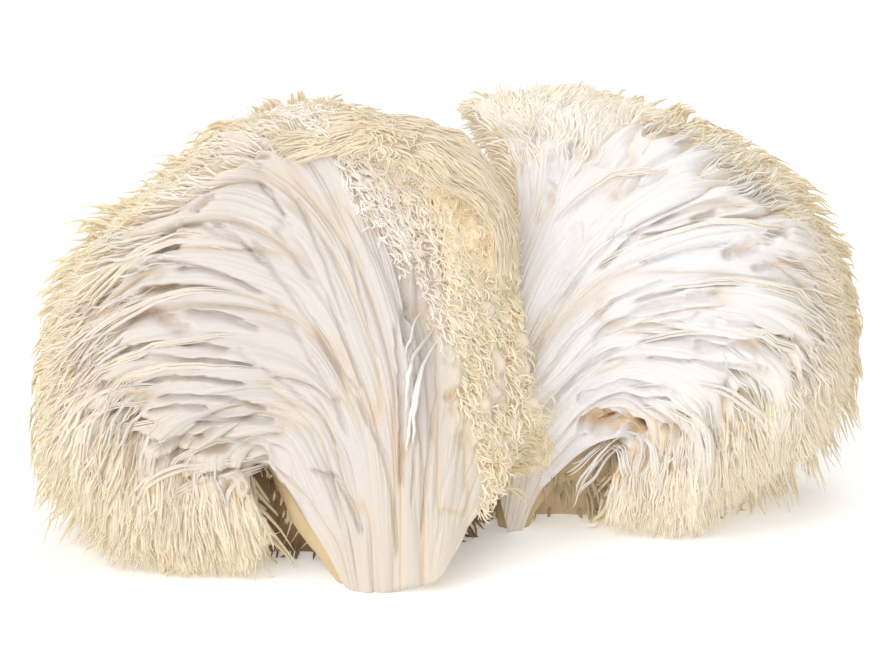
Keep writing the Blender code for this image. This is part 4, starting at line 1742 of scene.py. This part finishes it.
@dataclass(frozen=True)
class Skirt:
    """The spiny underside of the cap behind a stem; sizes are in millimetres."""

    name: str
    pixel: Pair
    depth: float
    radii: Triple
    front_shade: float
    lump: Pair = (1.6, 0.009)
    count: int = 1300
    length: Pair = (6, 11)
    girth: Pair = (0.45, 0.75)
    fall: float = 0.8
    seed: int = 900

    def shade(self, points: Array, middle: Array) -> Array:
        """How much painted shade the points get: most in front, under the arch, to 0 behind."""
        return self.front_shade * smooth(middle[1] + 0.004 - points[:, 1], 0, 0.008)

    def build(self) -> None:
        """Makes the flesh and its spines, which hang."""
        middle = EYE.place((*self.pixel, self.depth))
        radii = np.array(self.radii) * MM
        amount, size = self.lump
        mesh, points, _ = ball(
            f"{self.name}_flesh", middle, radii, lambda at: noise(at / size, self.seed) * amount
        )
        # Painted shade on the front, under the arch.
        store(mesh, ripe=1.0, hollow=self.shade(points, middle), tone=0.5)
        piece(f"{self.name}_flesh", mesh, Kind.UNDERSIDE)
        rng = np.random.default_rng(self.seed)
        away = unit(unit(rng.normal(0, 1, (self.count, 3))) / radii)
        root = middle + unit(away * radii) * radii * 0.97
        root = root[root[:, 2] > MM]
        away = unit((root - middle) / radii**2)
        t, number = np.linspace(0, 1, 5), len(root)
        shade = self.shade(root, middle)[:, None]
        reach = rng.uniform(*self.length, number) * (1 - 0.5 * shade[:, 0]) * MM
        path = arcs(root, away, np.array([0, 0, -self.fall]), reach, t)
        path = tufted(wavy(path, 7.0, 2.0, self.seed), 4.5, 0.7, self.seed)
        girths = tapered(rng.uniform(*self.girth, number), t)
        Spines(
            f"{self.name}_spines", path, girths, 0.6 - 0.4 * t, Kind.UNDERSIDE,
            seed=self.seed, root_shade=0.25, shade=shade,
        ).build()


def floor() -> Object:
    """The white surface that the mushroom lies on."""
    size = 4.0
    mesh = bpy.data.meshes.new("floor")
    corners = [(-size, -size, 0), (size, -size, 0), (size, size, 0), (-size, size, 0)]
    mesh.from_pydata(corners, [], [(0, 1, 2, 3)])
    made = placed("floor", mesh)
    material = bpy.data.materials.new("white_floor")
    material.use_nodes = True
    Tree(material.node_tree).feed(material.node_tree.nodes["Principled BSDF"], {
        "Base Color": (0.95, 0.95, 0.95, 1.0),
        "Roughness": 0.6,
        "Specular IOR Level": 0.1,
        "Emission Color": (1.0, 1.0, 1.0, 1.0),
        "Emission Strength": 0.28,
    })
    mesh.materials.append(material)
    return made


@dataclass(frozen=True)
class Lamp:
    """A soft studio light, aimed at the mushroom."""

    name: str
    place: Triple
    size: float
    power: float
    target: Triple = (0, 0, 0.05)

    def build(self) -> Object:
        """Makes the light."""
        data = bpy.data.lights.new(self.name, "AREA")
        data.shape = "SQUARE"
        data.size = self.size
        data.energy = self.power
        lamp = placed(self.name, data)
        lamp.location = self.place
        direction = Vector(self.place) - Vector(self.target)
        lamp.rotation_euler = direction.to_track_quat("Z", "Y").to_euler()
        return lamp


LAMPS = (
    Lamp("front", (-0.3, -1.4, 0.7), 1.0, 10.0),
    Lamp("key", (-1.0, -0.8, 1.4), 0.9, 9.0),
    Lamp("top", (0.2, 0.4, 1.8), 1.4, 13.0),
)


def studio() -> None:
    """White surroundings, the lights, and colours shown as they are."""
    scene = bpy.context.scene
    scene.view_settings.view_transform = "Standard"
    world = scene.world or bpy.data.worlds.new("studio")
    scene.world = world
    world.use_nodes = True
    surroundings = {"Color": (1.0, 1.0, 1.0, 1.0), "Strength": 0.42}
    Tree(world.node_tree).feed(world.node_tree.nodes["Background"], surroundings)
    for lamp in LAMPS:
        lamp.build()


STEMS = (
    Stem("left_stem", (
        (346, 386, 601, 3.0), (324, 426, 577, 4.0), (300, 438, 551, 6.0), (280, 464, 521, 9.0),
        (266, 486, 490, 12.5), (270, 500, 458, 16.0), (290, 500, 425, 20.0),
    )),
    Stem("right_stem", (
        (500, 524, 542, 46.5), (493, 540, 513, 47.5), (487, 558, 490, 49.5),
        (485, 576, 466, 52.0), (488, 590, 440, 54.0), (495, 596, 410, 56.0),
    )),
)
CURD_LUMPS = (
    Lump((468, 236), 33, (6, 6, 7)),
    Lump((486, 268), 36, (7, 7, 7)),
    Lump((470, 300), 36, (6, 6, 6)),
    Lump((492, 318), 38, (7, 8, 8)),
    Lump((478, 350), 37, (6, 6, 8)),
    Lump((504, 372), 42, (7, 10, 9)),
    Lump((522, 404), 46, (8, 10, 9)),
    Lump((512, 440), 44, (8, 10, 8)),
    Lump((534, 436), 48, (6, 8, 8)),
)

# Curls of the middle: (name, how many, the span across, how creamy, how much more so to
# the right, finish)
CURD_COATS = (
    ("curd_curls", 2500, 0.88, 1.0, 0.2, 0.0, Kind.CURD),
    ("curd_shreds", 1700, 0.7, 0.9, 0.0, 0.7, Kind.SHREDS),
)
# The last number is how much painted shade the front of each skirt gets under its arch.
SKIRTS = (
    Skirt("left_skirt", (330, 470), 46, (38, 20, 38), 0.88),
    Skirt("right_skirt", (560, 420), 74, (30, 20, 36), 0.3),
)

# Strands that stand out: (radius and height over the face in millimetres, the line that
# the strand follows)
LOBE_STRANDS = (
    (0.7, 2.0, (262, 448, 225, 440, 190, 452, 172, 470, 168, 495, 176, 520, 180, 550)),
    (0.6, 2.0, (250, 455, 215, 462, 195, 478, 196, 500, 205, 530, 208, 556)),
    (0.8, 2.5, (240, 420, 190, 418, 150, 425, 112, 432, 96, 450, 100, 480, 118, 512, 126, 545)),
    (0.9, 2.0, (268, 457, 240, 462, 205, 466, 172, 472, 148, 486, 136, 506)),
    (0.8, 2.0, (266, 464, 244, 471, 214, 478, 186, 486, 170, 502)),
    (0.6, 1.5, (262, 470, 240, 480, 226, 500, 228, 530, 232, 560)),
    (0.6, 2.5, (200, 400, 150, 402, 108, 408, 84, 428, 80, 458, 92, 492)),
    (0.5, 2.5, (210, 388, 160, 384, 120, 386, 92, 398, 74, 420, 66, 450)),
    (0.8, 1.5, (285, 345, 235, 335, 185, 340, 140, 352, 105, 366, 78, 392)),
    (0.7, 1.5, (290, 372, 240, 368, 190, 366, 150, 372, 118, 388)),
    (0.8, 1.5, (280, 310, 230, 292, 185, 292, 140, 306, 100, 330, 72, 365)),
    (0.7, 1.5, (262, 262, 215, 244, 175, 240, 135, 256, 105, 282, 80, 315)),
)
FLAP_STRANDS = (
    (1.1, 0.6, (450, 322, 434, 346, 422, 366, 415, 388, 410, 420, 409, 450)),
    (1.0, 0.6, (438, 322, 424, 342, 413, 360, 407, 382, 404, 412)),
    (0.7, 1.0, (434, 296, 418, 316, 410, 336, 408, 354)),
)
ARCH_STRANDS = (
    (0.55, 4.0, (630, 434, 612, 444, 594, 462, 582, 480, 573, 498)),
    (0.4, 4.0, (628, 440, 608, 456, 596, 472, 584, 486, 577, 492)),
    (0.35, 4.0, (614, 440, 600, 448, 588, 458, 578, 468, 569, 473)),
)
RIGHT_STRANDS = (
    (0.8, 1.5, (560, 300, 600, 262, 650, 240, 700, 226, 745, 222, 785, 232)),
    (0.8, 1.5, (570, 330, 620, 300, 680, 286, 735, 280, 785, 290, 815, 312)),
    (0.8, 1.5, (580, 368, 630, 345, 690, 332, 745, 332, 790, 350, 820, 385)),
    (0.8, 2.0, (590, 400, 640, 382, 690, 380, 735, 392, 768, 420, 780, 458)),
    (0.8, 2.0, (600, 425, 640, 405, 680, 412, 706, 440, 708, 478, 698, 515)),
    (0.7, 2.0, (606, 436, 632, 430, 652, 446, 656, 480, 650, 520)),
    (0.7, 2.0, (612, 446, 622, 452, 626, 480, 622, 512)),
    (0.6, 2.0, (540, 250, 560, 215, 590, 190, 625, 172, 665, 166)),
    (0.5, 2.5, (520, 180, 524, 150, 532, 125, 545, 108)),
)

GROWTHS = (
    Growth("strands", 1600, (0.0, 1.0, 0.6, 0.9), (10, 28), (0.2, 0.7), (-0.4, 1.4), 3,
           points=10, reach=0.96, taper=STRAND_TAPER, wave=(7.0, 2.0), sway=1.2, root=1.4,
           root_shade=0.0),
    Growth("fringe", 4100, (0.0, 1.0, 0.76, 0.97), (6, 14), (0.24, 0.5), (0.2, 3.8), 5, 2.0,
           points=6, sway=1.4, wave=(5.0, 2.8)),
    Growth("drops", 1300, (0.0, 0.34, 0.76, 0.94), (10, 16), (0.42, 0.7), (0.8, 3.6), 23, 1.0,
           wave=(8.0, 2.0), sway=0.8, taper=DROP_TAPER, tuft=(4.5, 0.75)),
    Growth("strays", 800, (0.0, 1.0, 0.6, 0.99), (5, 13), (0.12, 0.22), (0.5, 6.0), 11,
           points=10, reach=1.03, sway=2.5, wave=(3.0, 2.4)),
)
SHAG = Growth("shag", 1900, (0.56, 0.9, 0.58, 0.88), (5, 13), (0.18, 0.5), (0.3, 2.4), 17,
              reach=1.02, sway=1.6, wave=(4.0, 2.6), taper=STRAND_TAPER, root=1.0)
TUFT = Growth("tuft", 1500, (0.84, 1.0, 0.5, 0.97), (5, 14), (0.2, 0.5), (0.6, 4.0), 19,
              sway=2.0, wave=(4.0, 3.0), finish=Kind.SHREDS)
RIM = Coat("rim", 1700, (7, 13), (0.3, 0.55), (0.7, 0.2),
           (6.0, 2.4), (3.6, 0.7), (2.2, 0.8), 7)
OUTSIDE = Coat("outside", 6000, (8, 13), (0.45, 0.75), (0.45, 0.4),
               (7.0, 2.5), (4.5, 0.5), (2.6, 1.6), 9, points=5, uneven=0.2)
RIGHT_SIDE = Coat("side", 800, (6, 12), (0.3, 0.5), (0.6, 0.3),
                  (5.0, 2.2), (3.6, 0.7), (2.0, 0.7), 13)
LEFT_SIDE = replace(RIGHT_SIDE, count=600, length=(6, 11), first=10.0)
HOOD_COAT = Coat("spines", 2300, (7, 14), (0.28, 0.52), (0.35, 0.4),
                 (6.0, 2.2), (4.0, 0.7), (2.2, 0.6))


def main() -> None:
    """Builds the mushroom, piece by piece, and its surroundings."""
    logging.basicConfig(level=logging.INFO, format="%(message)s")
    EYE.camera()
    studio()
    floor()
    left = Half("left", FibreSheet(LEFT_FIBRES, LEFT_DEPTHS), LEFT_FURROWS,
                Kind.LEFT_FLESH, Kind.LEFT_STRANDS, Kind.LEFT_SPINES, 10, curd_start=0.87)
    right = Half("right", FibreSheet(RIGHT_FIBRES, RIGHT_DEPTHS), RIGHT_FURROWS,
                 Kind.RIGHT_FLESH, Kind.RIGHT_STRANDS, Kind.RIGHT_SPINES, 1010)
    for half in (left, right):
        half.body()
        for growth in GROWTHS:
            half.strands(growth)
        half.rim(RIM)
        half.outside(OUTSIDE)
    right.side(RIGHT_SIDE)
    left.side(LEFT_SIDE)
    left.strands(SHAG)
    right.strands(TUFT)
    hood = Hood()
    hood.slab()
    hood.spines(HOOD_COAT)
    for stem in STEMS:
        stem.build()
    curd = Curd(left.sheet, CURD_LUMPS)
    for number in range(len(CURD_LUMPS)):
        curd.lump(number)
    curd.dress()
    Threads("lobe_strands", left, Kind.LEFT_STRANDS, (0.0, 0.7), LOBE_STRANDS).build()
    Threads("flap_strands", left, Kind.RIGHT_STRANDS, (0.0, 0.1), FLAP_STRANDS, 3, 1.2).build()
    Threads("arch_strands", right, Kind.RIGHT_STRANDS, (0.1, 0.2), ARCH_STRANDS, 4, 2.0).build()
    Threads("right_locks", right, Kind.RIGHT_STRANDS, (0.0, 0.6), RIGHT_STRANDS).build()
    for skirt in SKIRTS:
        skirt.build()


if __name__ == "__main__":
    main()
